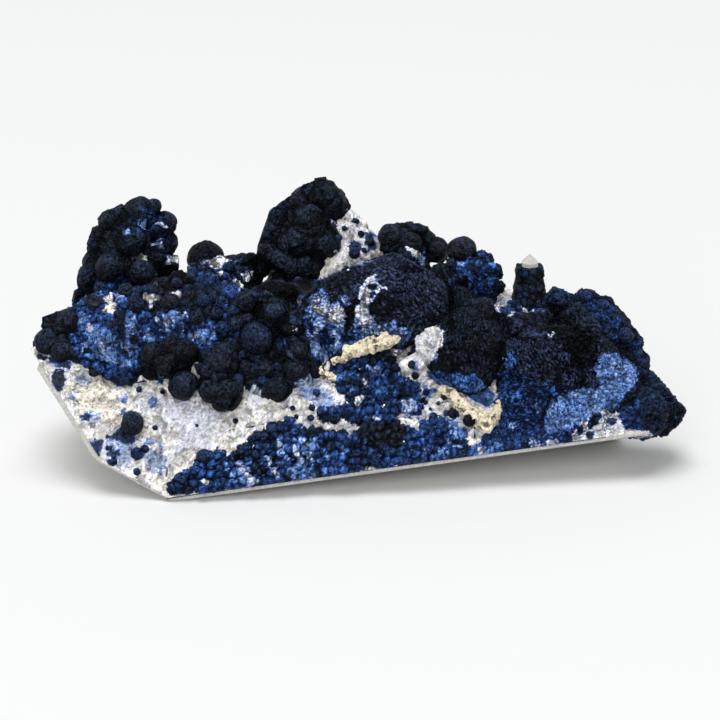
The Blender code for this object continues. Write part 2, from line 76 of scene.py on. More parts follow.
def place(across, up, back):
    """The points at those depths on the lines of sight through (across, up) of the layout."""
    across, up, back = np.broadcast_arrays(*(np.asarray(v, float)[..., None] for v in (across, up, back)))
    lines = TOWARDS * VIEW_DISTANCE + RIGHTWARDS * across + UPWARDS * (up - SIGHT_UP)
    return VIEWPOINT + lines * ((back - VIEWPOINT[1]) / lines[..., 1:2])


def layout_of(points):
    """Across and up of each point: where its line of sight crosses the plane of the layout."""
    lines = points - VIEWPOINT
    scale = VIEW_DISTANCE / (lines @ TOWARDS)
    return (lines @ RIGHTWARDS) * scale, SIGHT_UP + (lines @ UPWARDS) * scale


def on_face(across, up):
    """The points where the lines of sight meet the plane of the display side."""
    near, far = place(across, up, 0.0), place(across, up, 100.0)
    share = ((CORNER - near) @ FACE_OUTWARDS) / ((far - near) @ FACE_OUTWARDS)
    return near + (far - near) * share[..., None]


def on_front(across, up, proud):
    """Across and up as given, and how far back the display side lies on that line of sight, less proud."""
    return across, up, float(on_face(across, up)[1]) - proud


def inside(across, up, corners):
    """How far inside an outline each spot lies: as far as its nearest side, and negative outside."""
    corners = np.array(corners, float)
    nearest = np.full(np.shape(across), np.inf)
    within = np.zeros(np.shape(across), bool)
    for (x0, y0), (x1, y1) in zip(corners, np.roll(corners, -1, axis=0)):
        dx, dy = x1 - x0, y1 - y0
        along = np.clip(((across - x0) * dx + (up - y0) * dy) / (dx * dx + dy * dy + 1e-9), 0.0, 1.0)
        nearest = np.minimum(nearest, np.hypot(across - x0 - along * dx, up - y0 - along * dy))
        crossing = (y0 > up) != (y1 > up)
        within ^= crossing & (across < x0 + dx * (up - y0) / (dy if dy else 1e-9))
    return np.where(within, nearest, -nearest)


# ---- Chance -----------------------------------------------------------------------------------------------
def chances(cells, seed):
    """Three even numbers from 0 to 1 for each cell: its whole numbers are mixed by shifts and products."""
    x, y, z = (cells[..., k].astype(np.int64).astype(np.uint32) for k in range(3))
    mixed = x * np.uint32(0x8DA6B343) ^ y * np.uint32(0xD8163841) ^ z * np.uint32(0xCB1AB31F)
    mixed ^= np.uint32((seed * 0x9E3779B1) & 0xFFFFFFFF)
    drawn = []
    for _ in range(3):
        mixed = (mixed ^ (mixed >> np.uint32(16))) * np.uint32(0x7FEB352D)
        mixed = (mixed ^ (mixed >> np.uint32(15))) * np.uint32(0x846CA68B)
        mixed ^= mixed >> np.uint32(16)
        drawn.append(mixed / 2.0**32)
    return np.stack(drawn, axis=-1)


CLOUD_SPREAD = 1.6  # brings the blended numbers, which crowd about 0, out to about -1 and 1


def cloud(points, size, seed, octaves=3):
    """Soft unevenness from -1 to 1: even numbers on a lattice of that size, blended, with finer halves."""
    total, strength, whole = np.zeros(len(points)), 1.0, 0.0
    for octave in range(octaves):
        spots = points / size
        low = np.floor(spots)
        share = spots - low
        share = share * share * (3.0 - 2.0 * share)
        level = np.zeros(len(points))
        for shift in np.ndindex(2, 2, 2):
            weight = np.prod(np.where(shift, share, 1.0 - share), axis=1)
            level += weight * chances(low + shift, seed + octave)[:, 0]
        total += strength * (2.0 * level - 1.0)
        whole += strength
        strength, size = strength * 0.5, size * 0.5
    return total / whole * CLOUD_SPREAD


SEED_SPREAD = 0.7  # the middle share of its cell that a seed may lie anywhere in
OWN_STEPS = 4096.0  # a seed's own numbers are read in steps this fine


def seeds_by(points, size, seed):
    """The nearest of the seeds that are strewn one to each cell of a lattice.

    Gives the step from it to each point, how much farther the next one is, and three even numbers of its own.
    """
    spots = points / size
    corner = np.floor(spots - 0.5)
    first, second = np.full(len(points), np.inf), np.full(len(points), np.inf)
    step, own = np.zeros((len(points), 3)), np.zeros((len(points), 3))
    for shift in np.ndindex(2, 2, 2):
        cell = corner + shift
        drawn = chances(cell, seed)
        away = spots - (cell + 0.5 + SEED_SPREAD * (drawn - 0.5))
        far = np.einsum("ij,ij->i", away, away)
        nearer = far < first
        second = np.where(nearer, first, np.minimum(second, far))
        first = np.where(nearer, far, first)
        step[nearer], own[nearer] = away[nearer], drawn[nearer]
    farther = np.sqrt(second) - np.sqrt(first)
    return step * size, farther * size, chances(np.floor(own * OWN_STEPS), seed + 1)


def fade(values, low, high):
    """0 below low, 1 above high and a smooth step between."""
    share = np.clip((values - low) / (high - low), 0.0, 1.0)
    return share * share * (3.0 - 2.0 * share)


# ---- Relief -----------------------------------------------------------------------------------------------
DOME_REACH = 0.80  # a dome's radius as a share of the spacing
DOME_UNEVEN = 0.5  # how far the domes differ in height
CREVICE = 0.36  # a crevice's width between two domes, as a share of the spacing
CREVICE_DEPTH = 0.45
WARP_SIZE, WARP = 1.4, 0.22  # what takes the roundness from domes: its size and reach, by the spacing
CRYSTAL_UNEVEN = 0.9  # how far crystal faces differ in height
STEP_WIDTH, STEP_SHADE = 0.14, 0.6  # the painted shade on the step between two faces: its share of the spacing, and how dark it is painted
CRACKED = 0.10  # the painted shade in cracks is at its darkest once a layer's height reaches this share of its size
MODELLED = 0.25  # and the painted highlight on what stands proud is at its lightest at this share
# how strongly what stands proud is painted lighter and what lies low painted darker
PROUD_SHADE = 0.34


def warped(points, size, seed):
    """Points shifted by soft unevenness, so that what is worked out from them loses its even roundness."""
    shifts = [cloud(points, WARP_SIZE * size, seed + 301 * k, 2) for k in (1, 2, 3)]
    return points + WARP * size * np.stack(shifts, axis=1)


def domes(points, size, seed):
    """Balls grown together: over each seed a half-ball, uneven in height, with a crevice where two meet."""
    step, gap, own = seeds_by(warped(points, size, seed), size, seed)
    far = np.linalg.norm(step, axis=1) / size
    crevice = (1.0 - fade(gap, 0.0, CREVICE * size)) ** 2
    height = np.sqrt(np.clip(1.0 - (far / DOME_REACH) ** 2, 0.0, 1.0)) + DOME_UNEVEN * (own[:, 0] - 0.5)
    return height - CREVICE_DEPTH * crevice, crevice, own[:, 1] - 0.5


def crystals(points, size, seed):
    """Small crystal faces: round each seed a flat face, tilted its own way, with a step where two meet."""
    step, gap, own = seeds_by(points, size, seed)
    height = np.einsum("ij,ij->i", step, 2.0 * own - 1.0) / size + CRYSTAL_UNEVEN * (own[:, 0] - 0.5)
    return height, STEP_SHADE * (1.0 - fade(gap, 0.0, STEP_WIDTH * size)), own[:, 1] - 0.5


def waves(points, size, seed):
    """Soft unevenness with neither cracks nor tones."""
    height = cloud(points, size, seed)
    return height, np.zeros(len(points)), 0.0 * height


RELIEFS = {"domes": domes, "crystals": crystals, "waves": waves}


def relief(points, layers, seed):
    """The sum of layers of relief, each (kind, size, height, tone): its height, its painted shade and its
    tone.

    The painted shade is 1 in the cracks, and elsewhere above 0 where the finer layers lie low and below 0, a
    painted highlight, where they stand proud.
    """
    height, crack, proud, tone = (np.zeros(len(points)) for _ in range(4))
    for n, (kind, size, rise, tint) in enumerate(layers):
        level, cracks, own = RELIEFS[kind](points, size, seed + 17 * n)
        height += rise * level
        crack = np.maximum(crack, cracks * min(1.0, rise / (CRACKED * size)))
        if kind != "waves":
            proud += (level - level.mean()) / level.std() * min(1.0, rise / (MODELLED * size))
        tone += tint * own
    return height, np.clip(crack - PROUD_SHADE * proud, -0.9, 1.0), tone


# ---- Surfaces: points in millimetres and the faces between them -------------------------------------------
def squares_of(rows, columns):
    """The squares of a grid of rows x columns points, turned to face along rows x columns."""
    corner = (np.arange(rows - 1)[:, None] * columns + np.arange(columns - 1)).ravel()
    return np.stack([corner, corner + columns, corner + columns + 1, corner + 1], axis=1)


def halves(squares):
    """Each square as two triangles."""
    return np.concatenate([squares[:, :3], squares[:, [0, 2, 3]]])


def box_grid(*counts):
    """The sides of a cube from -1 to 1, divided in that many squares along x, y and z, its seams closed."""
    points, squares, start = [], [], 0
    for axis in range(3):
        one, two = (axis + 1) % 3, (axis + 2) % 3
        u, v = np.meshgrid(*(np.linspace(-1.0, 1.0, counts[k] + 1) for k in (one, two)), indexing="ij")
        for sign in (1.0, -1.0):
            side = np.empty((u.size, 3))
            side[:, axis], side[:, one], side[:, two] = sign, u.ravel() * sign, v.ravel()
            points.append(side)
            squares.append(squares_of(*u.shape) + start)
            start += u.size
    points, squares = np.concatenate(points), np.concatenate(squares)
    keys = np.round(points * 1e5).astype(np.int64)
    _, first, kept_as = np.unique(keys, axis=0, return_index=True, return_inverse=True)
    return points[first], kept_as.reshape(-1)[squares]


def ball_grid(cells):
    """A cube's sides divided in a grid and blown up to a unit ball; the tangent keeps the squares even."""
    points, squares = box_grid(cells, cells, cells)
    return unit(np.tan(points * math.pi / 4)), squares


def facings(points, faces):
    """The way that the surface faces at each point: the mean of the faces round it, by their areas."""
    corners, sides = points[faces], faces.shape[1]
    if sides == 3:
        areas = np.cross(corners[:, 1] - corners[:, 0], corners[:, 2] - corners[:, 0])
    else:
        areas = np.cross(corners[:, 2] - corners[:, 0], corners[:, 3] - corners[:, 1])
    total = [np.bincount(faces.ravel(), np.repeat(areas[:, k], sides), len(points)) for k in range(3)]
    return unit(np.stack(total, axis=1))


CREASE = 1.8  # a crease is painted with shade as far as this from its bottom, in millimetres


def reach_of_lumps(rays, base, lumps, blend):
    """How far each ray from the centre runs before it leaves the body that base and the round lumps make.

    It is the soft maximum of base and each lump's own reach: where two are close, their blend stands a little
    proud. Also given is how far the surface lies in a crease, where two reaches are level: 1 there and 0 from
    CREASE on.
    """
    total, first, second = np.ones(len(rays)), base.copy(), np.full(len(rays), -1e3)
    for centre, radius in lumps:
        along = rays @ centre
        under_root = along**2 - (centre @ centre - radius**2)
        hit = (under_root > 0) & (along > 0)
        reach = along[hit] + np.sqrt(under_root[hit])
        total[hit] += np.exp(np.clip((reach - base[hit]) / blend, -20.0, 40.0))
        second[hit] = np.maximum(second[hit], np.minimum(first[hit], reach))
        first[hit] = np.maximum(first[hit], reach)
    return base + blend * np.log(total), 1.0 - fade(first - second, 0.0, CREASE)


def reach_of_faces(rays, reach, centre, faces):
    """Each ray's reach, cut short where it would pass a face: each is a point and the way it faces."""
    for point, facing in faces:
        facing = unit(facing)
        distance, leaning = facing @ (np.asarray(point, float) - centre), rays @ facing
        reach = np.where(leaning > 1e-6, np.minimum(reach, distance / np.maximum(leaning, 1e-6)), reach)
    return reach


def face_through(*spots):
    """A face through three spots, each (across, up, back), that faces the viewpoint."""
    one, two, three = (place(*spot) for spot in spots)
    facing = unit(np.cross(two - one, three - one))
    return one, facing * np.sign(facing @ (VIEWPOINT - one))


def outline_faces(corners, back):
    """Faces seen edge-on from the viewpoint, through each side of an outline that runs clockwise."""
    spots = place(*np.array(corners, float).T, back)
    return [(spot, np.cross(after - spot, spot - VIEWPOINT)) for spot, after in zip(spots, spots[1:])]


GOLDEN_ANGLE = math.pi * (3.0 - math.sqrt(5.0))
KNOB_SUNK = 0.95  # where a knob's middle lies, as a share of the way out to the surface


def knobs_on(growth):
    """Small lumps spread evenly over a growth's ellipsoid by the golden angle, a little uneven in size."""
    uneven = np.random.default_rng(growth.knobs)
    knobs = []
    for n in range(growth.knobs):
        height = 1.0 - 2.0 * (n + 0.5) / growth.knobs
        ring, turn = math.sqrt(1.0 - height**2), n * GOLDEN_ANGLE
        knob = np.array((ring * math.cos(turn), ring * math.sin(turn), height)) * growth.half_axes * KNOB_SUNK
        knobs.append((knob, growth.knob_size * uneven.uniform(0.8, 1.25)))
    return knobs


LUMP_BLEND = 0.9  # how softly lumps run into each other
UNEVEN, UNEVEN_SIZE = 0.07, 4.5  # how far the rays are turned aside, so that lumps are less evenly round


def growth_surface(growth, blend=LUMP_BLEND, outline=(), cuts=()):
    """An ellipsoid with round lumps, cut off along an outline of the layout and along flat faces.

    It is the reach of rays from its centre, which are first turned a little aside. Its creases come with it.
    """
    centre = place(*growth.centre)
    ball, squares = ball_grid(growth.cells)
    on_ball = ball * growth.half_axes
    base = np.linalg.norm(on_ball, axis=1)
    rays = on_ball / base[:, None]
    lumps = [(place(*spot) - centre, radius) for *spot, radius in growth.lumps]
    aside = np.stack([cloud(centre + on_ball, UNEVEN_SIZE, 900 + k, 2) for k in range(3)], axis=1)
    reach, creases = reach_of_lumps(unit(rays + UNEVEN * aside), base, lumps + knobs_on(growth), blend)
    reach = reach_of_faces(rays, reach, centre, cuts)
    if len(outline):
        reach = reach_of_faces(rays, reach, centre, outline_faces(outline, growth.centre[2]))
    return centre + rays * reach[:, None], squares, creases


EDGE_SHARPNESS = 40.0  # how sharply two sides of a cut ball meet
SIDE_TILT = 0.10  # how far its sides are turned from an even spread
SIDE_REACH = (0.88, 0.97)  # and how far out they lie, as a share of its radius


def cut_ball(centre, radius, sides, cells, seed):
    """A ball cut to many flat sides: each ray ends at the nearest of faces spread evenly round it."""
    ball, squares = ball_grid(cells)
    uneven = np.random.default_rng(seed)
    n = np.arange(sides) + 0.5
    height = 1.0 - 2.0 * n / sides
    ring, turn = np.sqrt(1.0 - height**2), n * GOLDEN_ANGLE + seed
    even_ways = np.stack([ring * np.cos(turn), ring * np.sin(turn), height], axis=1)
    ways = unit(even_ways + uneven.normal(0, SIDE_TILT, (sides, 3)))
    cut = uneven.uniform(*SIDE_REACH, sides) / np.maximum(ball @ ways.T, 1e-3)
    reach = -np.log(np.exp(-EDGE_SHARPNESS * cut).sum(axis=1) + np.exp(-EDGE_SHARPNESS)) / EDGE_SHARPNESS
    return centre + ball * (radius * reach)[:, None], squares


def line_at(line, shares):
    """The spots at those shares of the way along a line of the layout, by its length."""
    line = np.array(line, float)
    run = np.concatenate([[0.0], np.cumsum(np.hypot(*np.diff(line, axis=0).T))])
    return [np.interp(shares * run[-1], run, line[:, k]) for k in range(2)]


def sheet_spots(foot, head, step):
    """A grid of spots of the layout between a foot line and a head line, about step apart."""
    long = max(np.hypot(*np.diff(np.array(line, float), axis=0).T).sum() for line in (foot, head))
    tall = max(math.dist(a, b) for a, b in zip((foot[0], foot[-1]), (head[0], head[-1])))
    columns, rows = np.linspace(0, 1, int(long / step) + 2), np.linspace(0, 1, int(tall / step) + 2)
    (foot_across, foot_up), (head_across, head_up) = line_at(foot, columns), line_at(head, columns)
    across = foot_across + rows[:, None] * (head_across - foot_across)
    return across, foot_up + rows[:, None] * (head_up - foot_up)


def rings_closed(around, along):
    """The faces of rings of points carried along, closed by a point at each end, which follow the rings."""
    here = np.arange(around)
    start = np.arange(along - 1)[:, None] * around
    corner, after = (start + here).ravel(), (start + np.roll(here, -1)).ravel()
    sides = halves(np.stack([corner, after, after + around, corner + around], axis=1))
    first, last, hub = here, (along - 1) * around + here, along * around
    ends = [
        np.stack([np.roll(first, -1), first, np.full(around, hub)], axis=1),
        np.stack([last, np.roll(last, -1), np.full(around, hub + 1)], axis=1),
    ]
    return np.concatenate([sides, *ends])


def closed_sheet(points, rows, columns, depth):
    """A grid of points made a closed body: a wall goes in from its edge, and a fan closes its back."""
    index = np.arange(rows * columns).reshape(rows, columns)
    edge = np.concatenate([index[0, :-1], index[:-1, -1], index[-1, :0:-1], index[:0:-1, 0]])
    wall = len(points) + np.arange(len(edge))
    back = points[edge] - FACE_OUTWARDS * depth
    middle = back.mean(axis=0) - FACE_OUTWARDS * depth
    after, wall_after = np.roll(edge, -1), np.roll(wall, -1)
    hub = np.full(len(edge), len(points) + len(edge))
    faces = np.concatenate([
        halves(squares_of(rows, columns)[:, [0, 3, 2, 1]]),
        halves(np.stack([after, edge, wall, wall_after], axis=1)),
        np.stack([wall_after, wall, hub], axis=1),
    ])
    return np.concatenate([points, back, middle[None]]), faces


# ---- Dressing a surface -----------------------------------------------------------------------------------
# Ribs that fan out from a middle: how far apart they are, how high, and the outline of where they run.
Ribs = namedtuple("Ribs", "middle pitch height corners")


BORDER_GRAIN = 1.7  # the size of the crystals that a patch's edge follows
BORDER_CLOUD = 2.4  # and of the soft unevenness that it follows too
BORDER_WIDTH = 0.15  # half the width of its edge
PATCH_GRAIN = 1.1  # and of those that it brings
PATCH_RISE = 0.30
BEYOND = 2.0  # a patch reaches no farther than this beyond its border
MOTTLE_SIZE = 5.0
SHOWN = (-0.15, 0.15)  # patches and ribs fade out where a surface turns from the viewpoint
PRESSED = 0.7  # the share by which what stands too proud is lowered
CREASE_SHADE, UPWARD_LIGHT = 0.9, 0.45  # how dark the painted shade in the creases is, and how much painted light what faces upwards gets
RIB_WANDER, RIB_SHADE = 0.9, 1.6  # how far ribs stray, and how their painted shade follows their height


def lay_patches(patches, points, shown, height, marks):
    """Patches laid over a surface: what they change of its relief and marks.

    Each is full where it is inside its border and gone outside, and its edge follows small crystals. It keeps
    a share of the relief beneath, brings its own, and draws the marks to its tones, which are liveliest
    halfway between navy and white.
    """
    across, up = layout_of(points)
    for n, patch in enumerate(patches):
        left, foot = np.min(patch.corners, axis=0) - BEYOND
        right, head = np.max(patch.corners, axis=0) + BEYOND
        near = np.flatnonzero((across > left) & (across < right) & (up > foot) & (up < head) & (shown > 0.0))
        if not len(near):
            continue
        spots = points[near]
        step, _, _ = seeds_by(spots, BORDER_GRAIN, 131 + n)
        edge = inside(*layout_of(spots - min(1.0, 1.3 * patch.ragged) * step), patch.corners)
        edge += patch.ragged * cloud(spots, BORDER_CLOUD, 31 + n)
        share = fade(edge, -BORDER_WIDTH, BORDER_WIDTH) * shown[near]
        grain, crack, own = crystals(spots, PATCH_GRAIN, 61 + n)
        lively = (0.04 + 0.18 * max(0.0, 1.0 - abs(patch.pale - 0.55) / 0.32)) * patch.keep
        soft = patch.pale + 0.8 * lively * own + lively * cloud(spots, 2.6, 91 + n)
        kept = 1.0 - share * (1.0 - patch.keep)
        height[near] = height[near] * kept + share * (PATCH_RISE * grain - patch.sunk)
        marks["pale"][near] += (soft - marks["pale"][near]) * share
        marks["warm"][near] += (patch.warm - marks["warm"][near]) * share
        # Painted shade in the steps between the patch's crystals and painted highlight on proud ones, less
        # where it keeps little relief.
        shadow = (0.4 + 0.6 * patch.keep) * (crack - 0.9 * grain)
        marks["painted_shading"][near] = marks["painted_shading"][near] * kept + share * shadow


def dressed(
    points, faces, layers, seed, pale=0.15, warm=0.0, mottle=0.02, patches=(), ribs=(), shade=1.0,
    creases=0.0, proudest=2.0,
):
    """A surface with its relief raised along its facing and its patches laid over, and its finish's marks.

    The marks are pale, from night over blue to white, warm, towards cream, and painted_shading: painted shade
    in the crevices, and below 0 a painted highlight where the surface stands proud. Shade makes more or less
    of it. What faces upwards is painted lighter and what faces down painted darker, and creases, given for
    each point, are painted darker. What stands higher than proudest is lowered towards it. Ribs are waves of
    the turn about their middle, painted lighter on their crests and darker in their troughs.
    """
    facing = facings(points, faces)
    height, painted_shading, tone = relief(points, layers, seed)
    # Painted shade in the creases and on what faces down, painted light on what faces upwards.
    painted_shading += CREASE_SHADE * creases - UPWARD_LIGHT * (facing[:, 2] - 0.3)
    shown = fade(facing @ -TOWARDS, *SHOWN)
    pale = pale + tone + mottle * cloud(points, MOTTLE_SIZE, seed + 5)
    marks = {"pale": pale, "warm": np.full(len(points), warm), "painted_shading": painted_shading}
    lay_patches(patches, points, shown, height, marks)
    across, up = layout_of(points)
    for rib in ribs:
        step_across, step_up = across - rib.middle[0], up - rib.middle[1]
        mean_far = np.hypot(*(np.mean(rib.corners, axis=0) - rib.middle))
        turn = np.arctan2(step_up, step_across) * mean_far / rib.pitch
        turn += RIB_WANDER * cloud(points, 3.0, seed + 7)
        share = fade(inside(across, up, rib.corners), -0.8, 0.8) * shown
        wave = np.sin(math.tau * turn)
        height += rib.height * share * wave
        # Painted light on the rib crests and painted shade in their troughs.
        marks["painted_shading"] -= share * min(0.9, RIB_SHADE * rib.height) * wave
    # The painted highlight on what stands proud is weaker where it is pale.
    lightest = 0.7 * fade(marks["pale"], 0.35, 0.6) - 1.2
    marks["painted_shading"] = np.clip(marks["painted_shading"] * shade, lightest, 1.0)
    height -= PRESSED * np.maximum(height - proudest, 0.0)
    return points + facing * height[:, None], marks


def border(*numbers):
    """The corners of an outline on the layout, from the across and up of each in turn."""
    return list(zip(numbers[::2], numbers[1::2]))


def bunch(surfaces):
    """Several dressed surfaces as one: their points, faces and marks put one after another."""
    starts = np.cumsum([0] + [len(points) for points, _, _ in surfaces])
    points = np.concatenate([points for points, _, _ in surfaces])
    faces = np.concatenate([faces + start for (_, faces, _), start in zip(surfaces, starts)])
    marks = {mark: np.concatenate([marks[mark] for _, _, marks in surfaces]) for mark in surfaces[0][2]}
    return points, faces, marks


# ---- Finishes ---------------------------------------------------------------------------------------------
def ink(red, green, blue):
    """A colour given as it looks on a screen, from 0 to 255, as the linear colour of a shader."""
    shares = np.array((red, green, blue)) / 255.0
    return (*np.where(shares <= 0.04045, shares / 12.92, ((shares + 0.055) / 1.055) ** 2.4), 1.0)


# From the darkest fluorite over blue to white quartz.
COOL_SCALE = [
    (0.00, ink(5, 7, 11)), (0.10, ink(20, 25, 34)), (0.16, ink(29, 37, 51)), (0.23, ink(26, 40, 63)),
    (0.31, ink(27, 47, 84)), (0.45, ink(40, 72, 134)), (0.60, ink(68, 111, 184)), (0.74, ink(116, 150, 213)),
    (0.87, ink(203, 209, 230)), (0.93, ink(230, 234, 248)), (1.00, ink(244, 241, 233)),
]
# The same for what has a cream stain.
WARM_SCALE = [
    (0.00, ink(30, 24, 18)), (0.45, ink(120, 96, 66)), (0.75, ink(222, 192, 140)), (1.00, ink(255, 243, 216)),
]


def link(tree, start, end):
    """A link from an output to an input."""
    tree.links.new(start, end)


def math_node(tree, operation, one, two, three=None):
    """A Math node on sockets or numbers, and its result."""
    node = tree.nodes.new("ShaderNodeMath")
    node.operation = operation
    for socket, value in zip(node.inputs, (one, two, three)):
        if isinstance(value, bpy.types.NodeSocket):
            link(tree, value, socket)
        elif value is not None:
            socket.default_value = value
    return node.outputs[0]


def scale_node(tree, share, scale):
    """A colour ramp with the colours of a scale, read at a share."""
    node = tree.nodes.new("ShaderNodeValToRGB")
    ramp = node.color_ramp
    while len(ramp.elements) < len(scale):
        ramp.elements.new(0.5)
    for element, (position, colour) in zip(ramp.elements, scale):
        element.position, element.color = position, colour
    link(tree, share, node.inputs["Fac"])
    return node.outputs["Color"]


def mix_colours(tree, share, one, two, blend="MIX"):
    """A Mix node on two colours, given as sockets or values."""
    node = tree.nodes.new("ShaderNodeMix")
    node.data_type, node.blend_type = "RGBA", blend
    sockets = [node.inputs[0], node.inputs[6], node.inputs[7]]
    for socket, value in zip(sockets, (share, one, two)):
        if isinstance(value, bpy.types.NodeSocket):
            link(tree, value, socket)
        else:
            socket.default_value = value
    return node.outputs[2]


def grown_mineral():
    """The node group every mineral finish shares: grains of uneven tone and painted glint, and painted shade.
    """
    group = bpy.data.node_groups.new("grown mineral", "ShaderNodeTree")
    add = group.interface.new_socket
    for name, kind in (
        ("Vector", "NodeSocketVector"), ("Pale", "NodeSocketFloat"), ("Warm", "NodeSocketFloat"),
        ("Painted Shading", "NodeSocketFloat"), ("Grain Scale", "NodeSocketFloat"), ("Speckle", "NodeSocketFloat"),
        ("Base Roughness", "NodeSocketFloat"),
    ):
        add(name, in_out="INPUT", socket_type=kind)
    for name, kind in (
        ("Color", "NodeSocketColor"), ("Roughness", "NodeSocketFloat"), ("Height", "NodeSocketFloat"),
    ):
        add(name, in_out="OUTPUT", socket_type=kind)
    inputs, outputs = group.nodes.new("NodeGroupInput"), group.nodes.new("NodeGroupOutput")
    vector, pale, grain_scale = (inputs.outputs[name] for name in ("Vector", "Pale", "Grain Scale"))
    grains = group.nodes.new("ShaderNodeTexVoronoi")
    grains.inputs["Randomness"].default_value = 1.0
    link(group, vector, grains.inputs["Vector"])
    link(group, grain_scale, grains.inputs["Scale"])
    noise = group.nodes.new("ShaderNodeTexNoise")
    noise.inputs["Detail"].default_value = 3.0
    link(group, vector, noise.inputs["Vector"])
    link(group, math_node(group, "MULTIPLY", grain_scale, 0.45), noise.inputs["Scale"])
    parts = group.nodes.new("ShaderNodeSeparateColor")
    link(group, grains.outputs["Color"], parts.inputs[0])
    # Each grain's own number, from -0.5 to 0.5, and soft unevenness over the grains.
    own = math_node(group, "SUBTRACT", parts.outputs[0], 0.5)
    soft = math_node(group, "SUBTRACT", noise.outputs[0], 0.5)
    both = math_node(group, "MULTIPLY_ADD", soft, 1.6, own)
    # In colour, grains differ by the finish's speckle: hardly where they are dark, and fully from blue on.
    lively = math_node(group, "MULTIPLY_ADD", pale, 3.5, -0.6)
    lively = math_node(group, "MINIMUM", math_node(group, "MAXIMUM", lively, 0.12), 1.0)
    lively = math_node(group, "MULTIPLY", lively, inputs.outputs["Speckle"])
    share = math_node(group, "MULTIPLY_ADD", both, lively, pale)
    cool, warm = scale_node(group, share, COOL_SCALE), scale_node(group, share, WARM_SCALE)
    colour = mix_colours(group, inputs.outputs["Warm"], cool, warm)
    # In brightness, they differ most where they are dark: random tone, which also paints glints. The painted
    # shading darkens recesses and lightens proud spots.
    contrast = math_node(group, "MAXIMUM", math_node(group, "MULTIPLY_ADD", pale, -2.1, 2.2), 0.25)
    tone_and_glint = math_node(group, "MAXIMUM", math_node(group, "MULTIPLY_ADD", both, contrast, 1.0), 0.1)
    unshaded = math_node(group, "MULTIPLY_ADD", inputs.outputs["Painted Shading"], -0.85, 1.0)
    lit = math_node(group, "MULTIPLY", tone_and_glint, unshaded)
    grey = group.nodes.new("ShaderNodeCombineColor")
    for socket in grey.inputs:
        link(group, lit, socket)
    link(group, mix_colours(group, 1.0, colour, grey.outputs[0], "MULTIPLY"), outputs.inputs["Color"])
    rough = math_node(group, "MULTIPLY_ADD", own, 0.25, inputs.outputs["Base Roughness"])
    link(group, rough, outputs.inputs["Roughness"])
    # Each grain is raised by its own number, and falls off from its middle.
    raised = math_node(group, "SUBTRACT", own, grains.outputs["Distance"])
    link(group, math_node(group, "ADD", soft, raised), outputs.inputs["Height"])
    return group


MINERAL = grown_mineral()
MARKS = {"pale": "Pale", "warm": "Warm", "painted_shading": "Painted Shading"}


def new_material(name):
    """A plain material, its node tree and its shader."""
    material = bpy.data.materials.new(name)
    material.use_nodes = True
    return material, material.node_tree, material.node_tree.nodes["Principled BSDF"]


def mineral(name, grain, speckle, roughness, gloss, bump):
    """A finish of that grain, in millimetres: how much the grains differ, how rough and glossy, how deep."""
    material, tree, shader = new_material(name)
    shader.inputs["Specular IOR Level"].default_value = gloss
    grown = tree.nodes.new("ShaderNodeGroup")
    grown.node_tree = MINERAL
    coordinates = tree.nodes.new("ShaderNodeTexCoord")
    link(tree, coordinates.outputs["Object"], grown.inputs["Vector"])
    for mark, socket in MARKS.items():
        attribute = tree.nodes.new("ShaderNodeAttribute")
        attribute.attribute_name = mark
        link(tree, attribute.outputs["Fac"], grown.inputs[socket])
    grown.inputs["Grain Scale"].default_value = 1.0 / (grain * MM)
    grown.inputs["Speckle"].default_value = speckle
    grown.inputs["Base Roughness"].default_value = roughness
    relief_node = tree.nodes.new("ShaderNodeBump")
    relief_node.inputs["Strength"].default_value = 1.0
    relief_node.inputs["Distance"].default_value = bump * MM
    link(tree, grown.outputs["Height"], relief_node.inputs["Height"])
    link(tree, grown.outputs["Color"], shader.inputs["Base Color"])
    link(tree, grown.outputs["Roughness"], shader.inputs["Roughness"])
    link(tree, relief_node.outputs["Normal"], shader.inputs["Normal"])
    return material


# name, grain in mm, difference between grains, roughness, gloss, depth of the grain in mm
FINISHES = {
    name: mineral(name, *look) for name, *look in (
        ("night_fluorite", 0.60, 0.12, 0.42, 0.08, 0.60),
        ("blue_fluorite", 0.55, 0.10, 0.42, 0.15, 0.40),
        ("navy_fluorite", 0.60, 0.12, 0.42, 0.10, 0.40),
        ("quartz_druse", 0.50, 0.05, 0.45, 0.40, 0.30),
        ("cream_crust", 0.55, 0.12, 0.75, 0.15, 0.35),
    )
}


HAZE_SCALE, BAND_SCALE = 900.0, 700.0  # how fine the haze and the bands of the clear quartz are, per metre
BAND_DEPTH = 0.05
QUARTZ_IOR = 1.544


def clear_quartz():
    """See-through quartz with a faint warm body and soft bands of growth across its faces."""
    material, tree, shader = new_material("clear_quartz")
    shader.inputs["Base Color"].default_value = ink(246, 242, 232)
    shader.inputs["Transmission Weight"].default_value = 0.45
    shader.inputs["IOR"].default_value = QUARTZ_IOR
    coordinates = tree.nodes.new("ShaderNodeTexCoord")
    noise = tree.nodes.new("ShaderNodeTexNoise")
    noise.inputs["Scale"].default_value = HAZE_SCALE
    link(tree, coordinates.outputs["Object"], noise.inputs["Vector"])
    link(tree, math_node(tree, "MULTIPLY_ADD", noise.outputs[0], 0.35, 0.05), shader.inputs["Roughness"])
    bands = tree.nodes.new("ShaderNodeTexWave")
    bands.bands_direction = "Z"
    bands.inputs["Scale"].default_value = BAND_SCALE
    bands.inputs["Distortion"].default_value = 2.0
    link(tree, coordinates.outputs["Object"], bands.inputs["Vector"])
    relief_node = tree.nodes.new("ShaderNodeBump")
    relief_node.inputs["Distance"].default_value = BAND_DEPTH * MM
    link(tree, bands.outputs[0], relief_node.inputs["Height"])
    link(tree, relief_node.outputs["Normal"], shader.inputs["Normal"])
    return material


FINISHES["clear_quartz"] = clear_quartz()


grown = []  # the points of every piece so far


